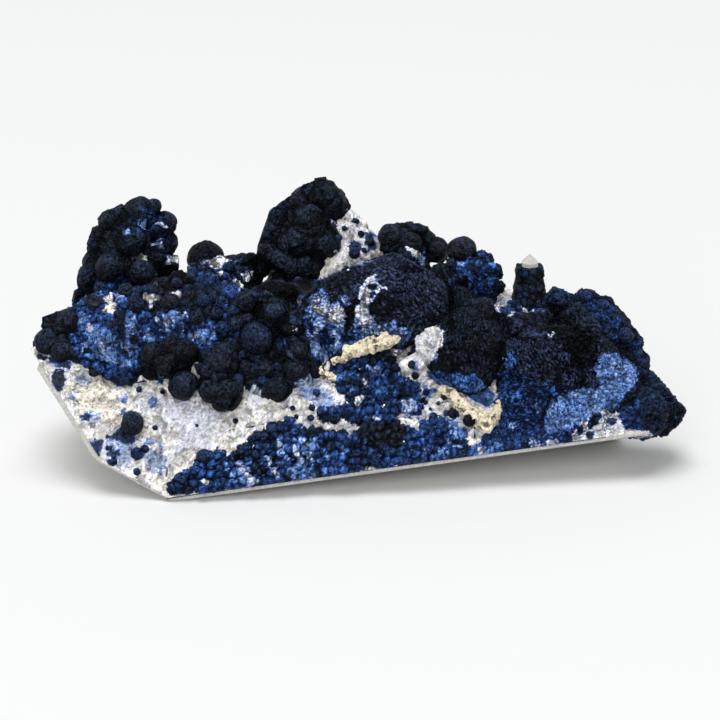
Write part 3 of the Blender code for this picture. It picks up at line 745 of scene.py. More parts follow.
def make(name, surface, slot, *nodes):
    """A piece from a dressed surface, in a slot's finish, that stands for CAD nodes and rides on the body."""
    points, faces, marks = surface
    grown.append(points)
    mesh = bpy.data.meshes.new(name)
    mesh.vertices.add(len(points))
    mesh.vertices.foreach_set("co", ((points - FRONT_CORNER) * MM).astype(np.float32).ravel())
    mesh.loops.add(faces.size)
    mesh.loops.foreach_set("vertex_index", faces.astype(np.int32).ravel())
    mesh.polygons.add(len(faces))
    mesh.polygons.foreach_set("loop_start", np.arange(0, faces.size, faces.shape[1], dtype=np.int32))
    mesh.polygons.foreach_set("use_smooth", np.full(len(faces), True))
    mesh.update(calc_edges=True)
    mesh.validate()
    for mark, values in marks.items():
        mesh.attributes.new(mark, "FLOAT", "POINT").data.foreach_set("value", np.asarray(values, np.float32))
    mesh.materials.append(FINISHES[slot])
    piece = bpy.data.objects.new(name, mesh)
    bpy.context.scene.collection.objects.link(piece)
    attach(piece, "root")
    if nodes:
        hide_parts(*nodes)


# ---- Tones of the display side ----------------------------------------------------------------------------
# What lies over everything that has grown on the display side, each row over the ones before it: how pale and
# how warm, how far sunk, how ragged its borders, how much of the relief beneath it keeps, and its borders.
TONES = [
    # painted shadow: black patches in the crevices between the growths
    (0.0, 0.0, 0.9, 0.4, 0.6, [
        (28.7, 72, 30.7, 70, 31.7, 63.3, 30.3, 58, 28.7, 59.3, 29.7, 65.7),
        (46.3, 58.3, 47.7, 59.3, 48.7, 51.7, 47.3, 42.7, 46.7, 35, 45.7, 33.3, 45.3, 42.7, 46.7, 51.7),
        (-66.7, 79.3, -61.3, 78, -56.7, 76, -57.3, 71.3, -61.3, 69.3, -66.7, 70),
        (-40, 79.3, -32.7, 81.3, -20, 71.7, -19, 66.7, -23.3, 66.7, -32.7, 70, -38.3, 71.7),
        (-39, 67.3, -32.7, 66.7, -34, 60, -38, 60.7),
        (61.7, 66.7, 66.7, 68, 65.3, 63.3, 62.7, 61.3),
        (-22, 73.7, -16, 75, -15.3, 70, -19, 67, -21.3, 68.7),
        (58.7, 60.3, 65.3, 58.3, 72, 54.3, 77.3, 49.7, 80, 44.3, 81, 38.7, 79.7, 38.7, 78, 43.7, 75, 48,
         69.3, 52, 63.3, 55.3, 58.7, 58.3),
        (48, 56.3, 53.3, 55, 59.3, 54.7, 63.3, 56.3, 63.7, 55.3, 60, 53.3, 53.3, 53.3, 48, 55),
    ]),
    # great dome: smooth shoulder, painted shade in its recess, blue windows, pale crystals in them
    (0.13, 0.0, 0.0, 0.3, 0.35, [
        (-19.6, 70, -12.5, 73.8, -3.3, 77.9, 0, 78.3, -3.3, 72.9, -3.3, 69.2, -5.8, 68.8, -10.8, 70.4,
         -14.2, 70.2, -15.4, 69, -17.7, 68.3),
    ]),
    (0.03, 0.0, 0.8, 0.3, 0.6, [
        (-5.4, 66.7, -1.7, 67.1, -1.2, 63.3, -2.1, 57.9, -5.4, 55.8, -6.2, 57.9, -4.8, 61.7),
    ]),
    (0.73, 0.0, 0.5, 0.4, 0.55, [
        (-17.9, 68.3, -15.2, 69, -14.2, 70, -11, 69.6, -10.6, 67.9, -10.8, 65.8, -8.8, 65, -7.1, 66.2,
         -5, 64.2, -4.8, 61.7, -5.2, 59.2, -5.8, 57.5, -5.2, 55.8, -6.7, 53.3, -6.2, 51.2, -8.3, 49.2,
         -10.8, 46.7, -14.2, 45.6, -15.4, 47.5, -17.1, 51.2, -18.1, 56.7, -18.8, 60, -18.5, 63.3,
         -17.5, 65.8),
        (-7.9, 68.8, -5.4, 69, -4.2, 67.5, -3.3, 65, -4.6, 64.6, -6.2, 66.7),
        (-1.7, 57.5, 0, 56.7, 4.2, 58.3, 5.4, 59.2, 6.7, 57.9, 8.3, 58.3, 11, 60, 13.3, 57.9, 15, 57.5,
         16.2, 55.8, 17.3, 54.6, 15, 52.1, 13.3, 50.8, 12.1, 52.1, 10.8, 54.6, 7.9, 55.2, 5.4, 54.8,
         4.2, 53.3, 2.1, 52.5, 0, 52.1, -3.3, 51.7, -5.4, 50.4, -6.2, 52.1, -5.4, 54.2, -3.3, 55.8),
    ]),
    (0.42, 0.0, 0.3, 0.8, 0.8, [
        (-18.8, 60.8, -16.7, 60, -15.8, 56.7, -16.7, 55, -18.1, 56.7),
        (-12.9, 57.5, -10, 58.3, -9.2, 55, -10, 50.8, -12.9, 51.2, -13.8, 54.2),
        (-5.8, 54.2, -1.7, 55.8, 0, 54.6, -3.3, 52.1, -5.8, 51.2),
        (-15, 47.9, -11.7, 48.3, -12.5, 45.4, -14.6, 45.6),
    ]),
    (0.78, 0.0, 0.2, 0.6, 0.8, [
        (-17, 66.7, -12.7, 67.3, -8, 65.7, -5, 62.7, -4.7, 59.3, -8, 59.3, -11.3, 61.7, -15.3, 61.3),
    ]),
    (0.91, 0.0, -0.2, 0.4, 0.5, [
        (-16.9, 65.8, -14.6, 65, -12.5, 65, -10.8, 63.3, -8.8, 64.2, -7.1, 65, -5.4, 63.3, -5, 60.8,
         -6.7, 59.6, -9.2, 60, -10.8, 61.7, -12.9, 62.1, -15.4, 63.3),
        (4.4, 75.2, 5.2, 74.2, 6.2, 73.3, 6.7, 71.7, 7.9, 71.2, 8.8, 70.2, 7.9, 69.2, 6.2, 69.2, 5.4, 67.5,
         4.2, 65.8, 2.5, 65, 2.5, 62.5, 4.2, 61.2, 4.4, 59.2, 3.3, 57.5, 0, 57.5, -1.7, 59.2, -0.8, 60.8,
         -2.1, 63.3, -1.2, 65, 0, 65.2, -0.2, 67.9, -0.6, 70, 0.6, 72.1, 1.7, 72.5, 2.5, 74.2),
    ]),
    (0.74, 0.0, 0.2, 0.4, 0.8, [
        (-1.7, 61.7, 0, 60.8, -0.8, 57.5, -2.9, 56.7, -3.3, 57.9),
        (-13.8, 68.3, -11.2, 68.3, -11.2, 66.2, -13.3, 66.2),
        (-10, 57.9, -8.3, 57.5, -8.8, 55, -10, 55.8),
        (0, 57.9, 4.2, 58.3, 5, 56.7, 2.5, 55.8, 0, 56.2),
    ]),
    (0.1, 0.0, 0.2, 0.3, 0.8, [
        (2.5, 71.7, 5.8, 72.1, 5, 69.6, 3.3, 70),
        (3.1, 69, 4.6, 69, 4.6, 67.7, 3.3, 67.7),
        (5.4, 68.8, 7.9, 70, 8.8, 68.3, 6.7, 65, 4.2, 63.3, 2.5, 65, 4.2, 66.2),
    ]),
    # white in the gaps between the great dome and its neighbours
    (0.9, 0.15, 0.0, 0.5, 0.8, [
        (-25.8, 57.9, -23.8, 58.3, -20.6, 57.5, -20.8, 56.2, -22.9, 55.8, -24.2, 56.9),
        (-21.2, 65.4, -20, 67.9, -18.5, 70, -19.2, 68.3, -20, 64.8),
    ]),
    (0.42, 0.0, 0.0, 0.6, 0.9, [
        (-26.7, 53.8, -24.2, 55.4, -22.5, 55.8, -24.2, 53.3, -26.7, 52.1),
        (-37.8, 52.2, -36.1, 50, -33.3, 49.4, -33.9, 48.2, -36.7, 48.6, -38.3, 50.6),
        (-22.5, 60.4, -20, 60.8, -20, 59.2, -22.1, 58.8),
    ]),
    # left tower
    (0.27, 0.0, 0.0, 0.8, 1.0, [
        (-73.3, 98.1, -66.7, 97.1, -63.8, 93.8, -63.3, 91.4, -69, 93.1, -73.3, 94.3),
        (-74.3, 93.8, -69.5, 92.6, -64.8, 90.5, -61.9, 87.6, -62.4, 84.3, -66.7, 86.2, -69.5, 87.6,
         -73.3, 88.1, -76.2, 89, -79, 90.5),
        (-88.1, 73.8, -80, 74.3, -79, 71.9, -84.3, 68.1, -88.6, 70),
    ]),
    (0.4, 0.0, 0.0, 0.6, 1.0, [
        (-81.9, 75.2, -77.6, 75.2, -77.1, 72.9, -81, 72.4),
        (-85.7, 71.9, -81, 72.4, -80.5, 69, -84.8, 68.1),
        (-71.9, 96.2, -67.6, 95.7, -66.7, 93.8, -70.5, 93.8),
    ]),
    (0.74, 0.0, 0.0, 0.5, 0.9, [
        (-73.8, 94, -71.4, 93.6, -71.4, 90.2, -72.9, 90, -73.8, 91.9),
        (-79.5, 90.7, -77.1, 91, -76.7, 88.8, -78.8, 88.3),
    ]),
    (0.95, 0.15, -0.3, 0.4, 0.9, [
        (-70, 93.6, -66.7, 93.1, -63.3, 91, -63.8, 89.8, -66.7, 91.4, -69.5, 92.1),
        (-70, 85.5, -67.6, 86.7, -65.7, 85.5, -64.8, 82.9, -66.7, 83.8, -69.5, 84.3),
        (-76.7, 80.5, -73.8, 81.9, -73.3, 82.9, -71, 80.5, -71, 78.6, -73.3, 79.5),
        (-69.5, 76.7, -67.6, 75.2, -68.1, 73.8, -69.5, 74.8),
        (-70, 72.9, -68.6, 72.9, -69, 71.4, -70, 71.9),
        (-68.1, 88.3, -66.7, 88.6, -66.9, 87.4, -67.9, 87.4),
        (-69, 88.6, -66.7, 88.1, -67.6, 87.4, -68.6, 87.6),
    ]),
    # painted shade in a recess of the left tower
    (0.02, 0.0, 0.8, 0.6, 1.0, [(-70.5, 80.5, -63.8, 81, -62.9, 76.7, -66.7, 74.8, -69.5, 76.7)]),
    # saddle and navy cluster
    (0.92, 0.15, -0.2, 0.5, 0.8, [
        (-64, 81, -60.7, 81.3, -58, 79.7, -60, 78, -63.3, 78.3),
        (-53.3, 79.5, -51.9, 80.5, -50.5, 79.5, -48.6, 81, -45.2, 81, -44.3, 79.5, -40.5, 79, -41, 78.6,
         -45.2, 78.6, -46.2, 77.4, -48.1, 77.1, -49.5, 77.4, -52.4, 78.6),
        (-59, 77.6, -57.1, 78.1, -56.7, 77.4, -54.3, 76.9, -54.8, 76.4, -58.6, 76.7),
        (-51, 76.7, -48.6, 77.6, -46.2, 75.2, -46.7, 73.6, -47.6, 74.3, -48.1, 75.7),
        (-43.8, 73.1, -41.4, 72.9, -38.6, 70, -40, 69.5, -42.9, 71.9),
        (-46.2, 66.9, -43.3, 66.2, -44.3, 65.5, -45.7, 65.7),
    ]),
    (0.88, 0.2, 0.0, 0.5, 0.8, [
        (-39.5, 75.2, -37.6, 76.2, -36.2, 76.7, -34.8, 76.2, -35.7, 73.8, -37.6, 72.4, -38.6, 73.3),
    ]),
    (0.38, 0.0, 0.0, 0.8, 1.0, [
        (-47.6, 72.9, -43.8, 72.4, -41.4, 70, -43.3, 67.1, -46.2, 70),
        (-54.3, 75.2, -48.1, 75.7, -47.1, 72.9, -52.4, 71.9),
    ]),
    # blue mounds
    (0.36, 0.0, 0.0, 1.0, 1.0, [
        (-97.5, 66.7, -91.1, 64.4, -77.8, 65, -68.9, 62.2, -57.8, 62.8, -47.8, 59.4, -46.7, 53.3, -51.1, 51.1,
         -57.8, 51.7, -64.4, 53.3, -70, 49.4, -73.3, 45.6, -75, 40.6, -76.7, 37.8, -79.4, 37.5, -82.2, 40,
         -86.7, 42.2, -91.1, 45, -95, 46.7, -96.1, 51.7, -97.2, 58.9),
    ]),
    (0.68, 0.0, 0.2, 0.8, 0.8, [
        (-96.7, 63.9, -94.4, 62.8, -91.1, 61.7, -88.9, 58.9, -84.4, 56.7, -81.1, 55, -80, 52.2, -82.2, 50,
         -80, 48.3, -76.7, 47.8, -74.4, 46.7, -75, 45, -77.2, 43.9, -82.2, 45.6, -86.7, 46.1, -90, 47.8,
         -92.8, 49.4, -95, 51.7, -95.6, 54.4, -96.7, 56.7, -96.9, 60),
        (-78.3, 63.9, -74.4, 62.2, -75, 59.4, -73.3, 55.6, -70, 57.8, -68.3, 55.6, -67.2, 53.3, -69.4, 50.6,
         -72.2, 48.9, -74.4, 47.8, -77.8, 48.9, -80, 51.7, -78.9, 53.9, -77.2, 55, -77.8, 58.9),
        (-65.6, 61.7, -61.1, 62.8, -58.9, 61.1, -60, 58.9, -57.8, 57.8, -58.9, 54.4, -61.7, 53.9, -64.4, 55,
         -66.1, 57.8),
        (-57.2, 53.9, -55.6, 56.1, -52.2, 57.2, -49.4, 60, -47.8, 58.9, -48.3, 55, -47.2, 53.3, -51.1, 51.7,
         -55.6, 51.7),
    ]),
    (0.4, 0.0, 0.0, 0.7, 1.0, [
        (-95, 50.6, -91.1, 47.2, -86.7, 45.6, -82.2, 45, -75.6, 43.3, -75, 41.1, -80, 40.6, -86.7, 42.8,
         -91.1, 45.6, -95, 47.8),
        (-95, 57.2, -92.2, 56.7, -91.1, 53.3, -93.9, 52.2),
        (-74.4, 53.3, -71.1, 53.9, -71.1, 51.1, -73.9, 50.6),
    ]),
    (0.72, 0.0, 0.0, 0.6, 1.0, [
        (-89.4, 55.6, -84.4, 56.1, -82.2, 53.3, -85.6, 51.7, -88.9, 52.8),
        (-96.1, 62.2, -92.8, 61.7, -91.7, 60, -95, 60),
        (-77.8, 62.8, -75.6, 62.2, -75.6, 59.4, -77.2, 58.9),
        (-63.3, 60.6, -61.1, 61.7, -60, 60, -62.2, 58.3),
        (-76.7, 50.6, -74.4, 51.1, -73.9, 48.9, -76.1, 48.3),
    ]),
    (0.18, 0.0, -0.2, 0.4, 0.7, [
        (-92.2, 67.2, -88.9, 68.3, -85, 67.2, -84.2, 64.4, -87.8, 63.9, -91.7, 65),
        (-78.3, 66.7, -73.3, 67.8, -70.6, 65.6, -71.1, 63.3, -74.4, 63.9, -77.8, 64.4),
        (-82.2, 61.7, -78.9, 62.8, -77.8, 60, -78.9, 56.1, -81.7, 57.2),
        (-77.2, 55, -74.4, 54.4, -74.4, 52.2, -77.2, 51.7),
        (-92.2, 50, -90.6, 50.8, -89.2, 50, -89.4, 48.9, -91.1, 48.6),
        (-67.8, 65.6, -65, 68.3, -62.2, 66.7, -61.7, 63.9, -64.4, 62.2, -67.2, 63.3),
        (-60, 66.7, -52.8, 67.8, -50.6, 64.4, -51.7, 60.6, -55.6, 60, -58.9, 62.8),
    ]),
    (0.86, 0.0, -0.1, 0.5, 0.9, [
        (-91.1, 58.9, -88.9, 58.3, -88.9, 56.7, -90.6, 56.1),
        (-55.6, 55.3, -53.3, 56.1, -52.8, 55, -55, 54.4),
        (-68.9, 61.1, -66.4, 60.6, -66.7, 59.2, -68.3, 59.4),
        (-60, 62.2, -58.1, 62.8, -58.3, 61.1, -59.4, 61.1),
    ]),
    (0.96, 0.4, -0.2, 0.4, 0.8, [
        (-85.6, 67.2, -82.2, 67.5, -81.1, 63.9, -82.2, 61.1, -84.4, 61.7, -86.1, 63.3, -83.9, 64.4),
        (-72.8, 68.9, -71.1, 69.4, -69.4, 68.3, -66.1, 67.8, -65.6, 68.9, -66.7, 66.7, -68.9, 65.6,
         -68.9, 63.3, -70.6, 63.1, -70, 65.6, -72.2, 67.2),
        (-63.9, 69.4, -59.4, 68.9, -60, 66.7, -62.2, 67.8),
    ]),
    (0.82, 0.0, -0.1, 0.4, 0.8, [(-82.2, 68.1, -78.3, 67.8, -78.6, 66.4, -81.7, 66.9)]),
    (0.1, 0.0, 0.0, 0.5, 1.0, [
        (-73.3, 45.6, -72.8, 47.8, -70, 49.4, -67.2, 51.7, -64.4, 53.3, -61.1, 53.3, -57.2, 51.7, -53.3, 48.9,
         -54.4, 46.1, -57.8, 43.9, -63.3, 42.2, -68.9, 41.7, -72.2, 42.8),
    ]),
    (0.3, 0.0, 0.0, 0.6, 0.9, [
        (-108.3, 48.6, -102.2, 47.8, -97.2, 47.2, -96.1, 42.2, -98.9, 43.9, -103.3, 46.1, -108.3, 47.5),
        (-57.8, 52.2, -48.9, 51.7, -49.4, 48.9, -53.3, 49.4),
    ]),
    # white face, left
    (0.93, 0.0, -0.6, 0.8, 0.45, [
        (-66.1, 33.3, -63.3, 34.4, -58.9, 32.2, -56.7, 33.9, -56.1, 31.7, -51.1, 31.1, -46.1, 29.4,
         -45.3, 27.8, -47.8, 25.6, -49.4, 21.1, -50, 17.8, -54.4, 16.7, -61.7, 15.3, -62.2, 18.3, -60, 22.2,
         -63.3, 25.6, -66.1, 27.2),
        (-37.2, 37.2, -33.3, 37.2, -31.7, 34.4, -33.3, 31.7, -36.1, 33.3),
        (-57.8, 40, -55, 38.9, -54.4, 35.6, -56.7, 34.4),
    ]),
    (0.98, 0.45, -0.3, 0.8, 0.8, [
        (-87.2, 31.7, -83.3, 32.8, -80, 28.9, -80.6, 23.9, -84.4, 24.4, -87.2, 27.8),
        (-96.7, 38.9, -85.6, 40.6, -81.1, 34.4, -86.7, 31.7, -92.2, 28.9, -96.7, 33.3),
    ]),
    (0.76, 0.0, 0.0, 0.7, 0.9, [
        (-80, 33.3, -77.8, 36.7, -77.2, 34.4, -78.9, 28.9, -80, 28.9),
        (-72.8, 21.9, -68.9, 20.6, -65, 17.8, -71.1, 18.6),
        (-91.1, 29.2, -86.7, 29, -85.3, 27.8, -88.9, 27.2, -91.1, 27.8),
        (-72.2, 34.4, -67.2, 33.9, -66.7, 31.1, -70, 31.1),
        (-67.8, 41.7, -65.6, 41.4, -66.1, 38.9, -67.5, 38.3),
    ]),
    (0.83, 0.0, 0.0, 0.9, 0.9, [
        (-95, 42.2, -91.1, 41.1, -90, 38.3, -93.9, 38.3),
        (-98.9, 36.7, -94.4, 35.6, -94.4, 32.2, -97.8, 32.8),
        (-72.2, 16.7, -65.6, 16.7, -63.3, 11.1, -67.8, 7.8, -72.2, 11.1),
        (-85.6, 20, -74.4, 21.1, -73.3, 14.4, -78.9, 10, -84.4, 13.3),
    ]),
    (0.66, 0.5, 0.0, 0.8, 0.9, [(-78, 7.3, -70.7, 6, -66.7, 0.3, -71.3, 0, -76.7, 3.3)]),
    (0.62, 0.6, 0.8, 0.4, 0.9, [
        (-66.7, 37.2, -64.9, 37.2, -64.3, 35, -65.6, 34),
        (-90.6, 26.4, -87.2, 26.4, -87.8, 23.9, -89.4, 23.2),
        (-85.8, 41.1, -84.4, 40, -85, 38.9, -85.8, 39.4),
    ]),
    (0.22, 0.0, -0.6, 0.25, 0.6, [
        (-102.8, 41.7, -101.4, 43.6, -98.9, 43.3, -98.3, 40, -99.4, 36.7, -101.1, 35.8, -102.7, 38.9),
    ]),
    (0.31, 0.0, -0.7, 0.5, 0.9, [
        (-92.8, 27.8, -91.4, 28.9, -89.4, 27.5, -91.7, 26.2),
        (-85.3, 21.1, -82.2, 22.8, -79.4, 23.9, -75, 21.7, -74.4, 20, -77.2, 18.3, -81.1, 20, -85, 20),
        (-91.9, 19.7, -85.8, 19.7, -85.8, 15, -88.9, 13.8, -91.1, 15.6),
        (-85, 15, -82.8, 15.8, -80, 16.7, -79.7, 15, -81.7, 14.2),
        (-67.5, 41.1, -66.1, 40, -66.1, 38.3, -67.2, 38.9),
    ]),
    # white between the domes
    (0.94, 0.1, -0.3, 0.6, 0.8, [
        (19.6, 55, 20.4, 56.2, 24.6, 56.7, 26.2, 57.9, 27.5, 57.1, 28.5, 53.3, 27.9, 51.2, 25.8, 50,
         24.6, 47.5, 22.5, 46.2, 21.2, 45, 21.2, 42.5, 22.1, 40.4, 23.3, 38.8, 21.7, 36.7, 17.5, 40.4,
         16.7, 42.5, 17.5, 45, 18.3, 46.7, 19.2, 49.6),
        (10, 50, 14.6, 50.4, 15, 47.9, 14.4, 45, 15.4, 42.5, 16.7, 41.2, 14.2, 39.6, 12.1, 41.2, 12.1, 45,
         11.7, 47.9),
        (15, 86.7, 17.1, 86.7, 17.5, 84.2, 20.8, 81.2, 21.7, 78.3, 21.2, 77.5, 18.3, 79.6, 16.2, 82.9,
         15.2, 84.6),
    ]),
    (0.66, 0.0, 0.0, 0.6, 0.9, [
        (17.5, 45.8, 19.2, 45.4, 19.2, 42.5, 17.5, 43.3),
        (21.2, 37.5, 25, 37.1, 24.6, 34.2, 21.2, 34.6),
        (18.3, 80.4, 20.8, 79.6, 21.2, 78.3, 18.8, 78.8),
    ]),
    # crust of small balls
    (0.54, 0.0, 0.0, 1.0, 0.9, [
        (-8.9, 43.1, -4.4, 42.8, -4.4, 39.7, -8.1, 40),
        (-4.4, 43.6, -1.1, 43.9, -1.1, 40.6, -3.9, 40.8),
        (5.6, 38.3, 10.3, 38.3, 10.3, 35.6, 5.8, 35.8),
        (14.4, 31.1, 20.8, 31.1, 20.3, 27.8, 15, 28.1),
        (-13.3, 16.7, -4.4, 17.2, -4.4, 9.4, -12.8, 8.9),
        (26.1, 17.8, 30, 17.2, 28.9, 13.3, 25, 14.4),
        (20.6, 15.6, 23.3, 15.6, 22.8, 12.8, 20.6, 13.3),
    ]),
    (0.7, 0.0, 0.0, 1.0, 0.9, [
        (2.2, 44.4, 7.2, 44.2, 7.2, 41.9, 2.8, 41.9),
        (-22.2, 21.4, -14.2, 21.1, -15, 14.4, -18.9, 14.4, -21.7, 17.8),
        (-20, 13.3, -13.9, 13.3, -15.6, 7.2, -25, 6.1, -23.9, 10),
        (28.3, 27.2, 31.7, 26.7, 34.4, 22.2, 34.4, 20, 31.7, 21.7, 28.9, 24.4),
        (-4.4, 37.2, -2.2, 37.2, -2.2, 34.4, -4.4, 34.4),
        (-27.5, 20, -24.4, 18.9, -23.9, 13.3, -26.7, 14.4),
        (-44, 11.7, -36.7, 12.7, -36, 3.3, -42.7, 2.7),
    ]),
    (0.62, 0.0, 0.0, 1.0, 0.8, [(37.8, 17.8, 47.2, 20, 47.2, 12.8, 40, 12.2, 37.2, 12.8)]),
    (0.85, 0.0, -0.2, 0.3, 0.9, [
        (-32.2, 15, -30.8, 15, -26.7, 7.8, -28.1, 6.9),
        (-28.6, 20.6, -27.2, 20.8, -25.6, 16.7, -26.7, 16.1),
        (-22.8, 17.8, -21.7, 18.3, -19.4, 13.6, -20.8, 13.1),
        (-41.1, 12.2, -39.4, 12.2, -36.7, 8.3, -33.3, 6.1, -35.6, 5, -38.9, 7.8),
        (28.3, 20.6, 33.9, 17.8, 33.9, 16.7, 30.6, 17.8),
        (20.6, 18.3, 21.7, 18.3, 21.7, 16.7, 20.8, 16.7),
        (-17.8, 15, -16.1, 15.6, -15.6, 14.4, -17.2, 13.3),
    ]),
    (0.8, 0.0, 0.0, 1.0, 0.9, [
        (-22.7, 40.7, -18, 42.7, -14, 39.3, -10, 36, -6.7, 32, -10, 28.7, -14.7, 30.7, -18, 34, -21.3, 36),
        (12.7, 31.7, 16.7, 34, 20, 32, 18, 28, 14, 27.3),
    ]),
    (0.94, 0.2, 0.0, 0.5, 0.9, [
        (-53.1, 6.4, -50.8, 6.4, -51.1, 5.3, -52.8, 5.3),
        (-44.7, 4.4, -42.5, 4.4, -42.8, 3.3, -44.4, 3.3),
        (0.8, 40.8, 2.8, 40, 2.8, 37.8, 1.7, 37.8),
        (-1.1, 34.2, 1.9, 34.4, -0.6, 31.7, -1.1, 32.2),
        (38.9, 15, 40, 17.2, 41.7, 17.2, 40, 14.4),
        (-1.1, 9.4, 2.2, 10.8, 7.8, 10, 7.8, 7.8, 0, 7.5),
        (3.3, 27.8, 6.7, 27.5, 6.1, 26.4, 3.9, 26.7),
    ]),
    (0.13, 0.0, 0.3, 0.9, 1.0, [
        (-1.1, 26.7, 15.6, 24.4, 13.3, 16.7, 2.2, 17.8),
        (-30, 14.4, -25.6, 15, -25.6, 12.2, -28.9, 11.1),
        (-34.4, 12.2, -31.1, 11.7, -31.1, 8.9, -33.9, 9.4),
    ]),
    # middle dome and its sheared foot
    (0.14, 0.0, 0.0, 0.4, 0.3, [
        (39, 65.5, 41.9, 66, 43.8, 62.6, 41.9, 59.8, 38.1, 58.8, 35.7, 59.8),
        (40.5, 47.4, 44.8, 47.9, 46.7, 45.5, 44.8, 42.6, 41, 43.1),
        (42.4, 57.9, 46.7, 60.2, 50.5, 60.7, 50.5, 55, 48.1, 52.6, 43.8, 53.1),
        (53.3, 61.7, 57.1, 63.1, 61, 61.2, 62.4, 57.9, 59, 56.9, 54.3, 57.9),
    ]),
    (0.55, 0.0, 0.8, 0.3, 0.3, [
        (22.4, 43.1, 27.1, 42.6, 31.4, 42.6, 35.7, 41.2, 37.6, 42.4, 40, 40.2, 42.4, 37.9, 44.8, 35.5,
         44.8, 33.1, 43.3, 30.5, 41, 31.7, 38.1, 33.1, 35.7, 35, 33.3, 36.9, 29, 37.4, 25.7, 38.8,
         22.9, 40.7),
    ]),
    (0.72, 0.0, 0.8, 0.4, 0.6, [
        (39.5, 38.8, 41, 38.3, 41.4, 36, 40, 36),
        (41.9, 36, 43.8, 35, 43.3, 32.6, 41.4, 34),
    ]),
    # right dome: granular navy below, blue window, sheared light blue
    (0.38, 0.0, 0.1, 0.8, 0.9, [
        (46.7, 42.6, 50.5, 43.1, 53.3, 40.7, 58.1, 38.3, 64.3, 36.4, 70, 37.9, 70, 23.3, 46.7, 23.3),
        (56.7, 36.7, 62.1, 37.5, 67.1, 35.8, 70.4, 36.2, 70.8, 33.8, 67.1, 33.3, 62.1, 31.2, 56.7, 31.7),
        (46.7, 42.7, 53.3, 42.7, 66.7, 36, 76, 30, 70.7, 18.7, 56.7, 15.7, 46.7, 14),
    ]),
    (0.46, 0.0, 0.3, 0.9, 0.8, [
        (47.1, 41.7, 50.5, 41.2, 51.9, 37.9, 53.3, 36, 51.4, 32.6, 48.6, 31.2, 47.1, 33.6),
        (48.1, 29.8, 53.3, 29.3, 56.2, 26.4, 53.3, 23.3, 48.6, 23.3),
    ]),
    (0.58, 0.0, 0.5, 0.3, 0.5, [(48.3, 49.5, 51, 49.8, 51.4, 47.4, 52.9, 46.2, 51, 43.6, 48.1, 44)]),
    (0.7, 0.0, 0.1, 0.6, 0.9, [
        (57.9, 31.7, 60.8, 32.1, 61.2, 30, 58.8, 29.6),
        (49.5, 26.4, 52.9, 26, 52.9, 24.5, 50, 24.5),
        (57.6, 32.6, 60.5, 32.1, 60.5, 30.2, 58.1, 30.7),
    ]),
    (0.69, 0.0, 0.3, 0.35, 0.3, [
        (80, 48.3, 83.3, 49.8, 85.8, 49.2, 89.2, 46.7, 92.1, 44.2, 92.9, 40.8, 91.2, 37.5, 89.2, 35.8,
         86.7, 32.5, 85.4, 29.6, 82.5, 29.2, 80, 27.9, 76.2, 27.1, 73.3, 25.8, 70.8, 23.8, 68.8, 22.5,
         62.1, 22.1, 61.2, 24.2, 61.7, 28.3, 62.9, 31.7, 67.1, 34.6, 70.4, 36.2, 73.3, 37.5, 79.2, 37.1,
         80, 37.9, 79.2, 40.8, 77.9, 43.3, 78.3, 45.8),
    ]),
    # right end
    (0.31, 0.0, 0.0, 0.8, 1.0, [
        (57.9, 63.8, 60.8, 67.5, 65.8, 70.8, 69.2, 71.7, 75, 70, 81.7, 68.8, 85, 62.9, 87.5, 58.3, 85.8, 55.8,
         83.3, 56.2, 80, 57.9, 78.3, 60.4, 75.4, 64.2, 71.2, 67.1, 65.8, 67.1, 62.1, 65.4, 59.2, 62.9),
        (83.3, 56.7, 88.3, 57.9, 94.2, 55, 95.8, 46.7, 93.3, 46.2, 90, 50, 85.8, 51.7, 83.3, 53.8),
    ]),
    (0.14, 0.0, 0.0, 0.5, 0.5, [
        (79.6, 52.5, 83.3, 53.3, 88.3, 51.2, 90, 47.5, 88.3, 46.7, 85.8, 49.4, 83.3, 50, 80, 48.8),
    ]),
    # painted shade in the ribbed recess of the upper fan
    (0.05, 0.0, 0.8, 0.8, 1.0, [
        (62.1, 65, 66.2, 65, 70.4, 60.8, 75.4, 55.8, 79.2, 51.7, 79.2, 48.3, 77.5, 44.2, 74.6, 44.2,
         71.7, 46.7, 69.2, 50, 65, 53.8, 63.3, 59.6),
    ]),
    (0.17, 0.0, 0.0, 0.6, 1.0, [
        (65, 66.7, 70.4, 65.8, 75.4, 62.5, 78.3, 59.2, 80, 55, 78.3, 53.3, 74.2, 59.6, 69.2, 62.9,
         65.8, 64.6),
    ]),
    (0.36, 0.0, 0.0, 0.8, 0.7, [
        (85.8, 29.2, 88.3, 32.5, 91.2, 34.6, 93.3, 33.3, 94.2, 29.6, 93.3, 26.7, 95, 23.3, 90, 22.5,
         87.5, 24.6),
    ]),
    (0.12, 0.0, -0.3, 0.2, 0.3, [
        (85.8, 29.4, 88.3, 33.3, 92.5, 37.9, 96.2, 40.8, 94.2, 37.9, 90.8, 33.3, 87.5, 30),
    ]),
    (0.92, 0.1, 0.0, 0.6, 0.9, [
        (70.4, 22.1, 73.3, 25.4, 76.7, 27.1, 79.6, 30, 81.7, 30.4, 83.8, 29.2, 86.7, 27.1, 87.5, 24.2,
         85.8, 22.5, 83.3, 21.7, 79.2, 20.4, 73.3, 19.6, 70.8, 19.6),
        (62.1, 56.7, 65.4, 56.7, 63.3, 55),
    ]),
    (0.84, 0.3, 0.0, 0.3, 0.5, [(87.5, 23.8, 92.1, 23.3, 97.5, 22.5, 97.5, 21.2, 92.1, 20.2, 88.3, 21.7)]),
    (0.9, 0.1, 0.0, 0.5, 0.8, [(62.1, 20.4, 65, 20.4, 68.3, 18.8, 68.3, 16.7, 62.5, 16.7)]),
    (0.8, 0.0, 0.0, 0.9, 0.9, [(56.7, 20.8, 60.8, 20, 62.1, 17.1, 56.7, 17.5)]),
    (0.3, 0.0, 0.2, 0.4, 0.8, [
        (72.5, 23.8, 74.2, 24.6, 75.4, 23.3, 74.2, 21.7, 72.5, 21.7),
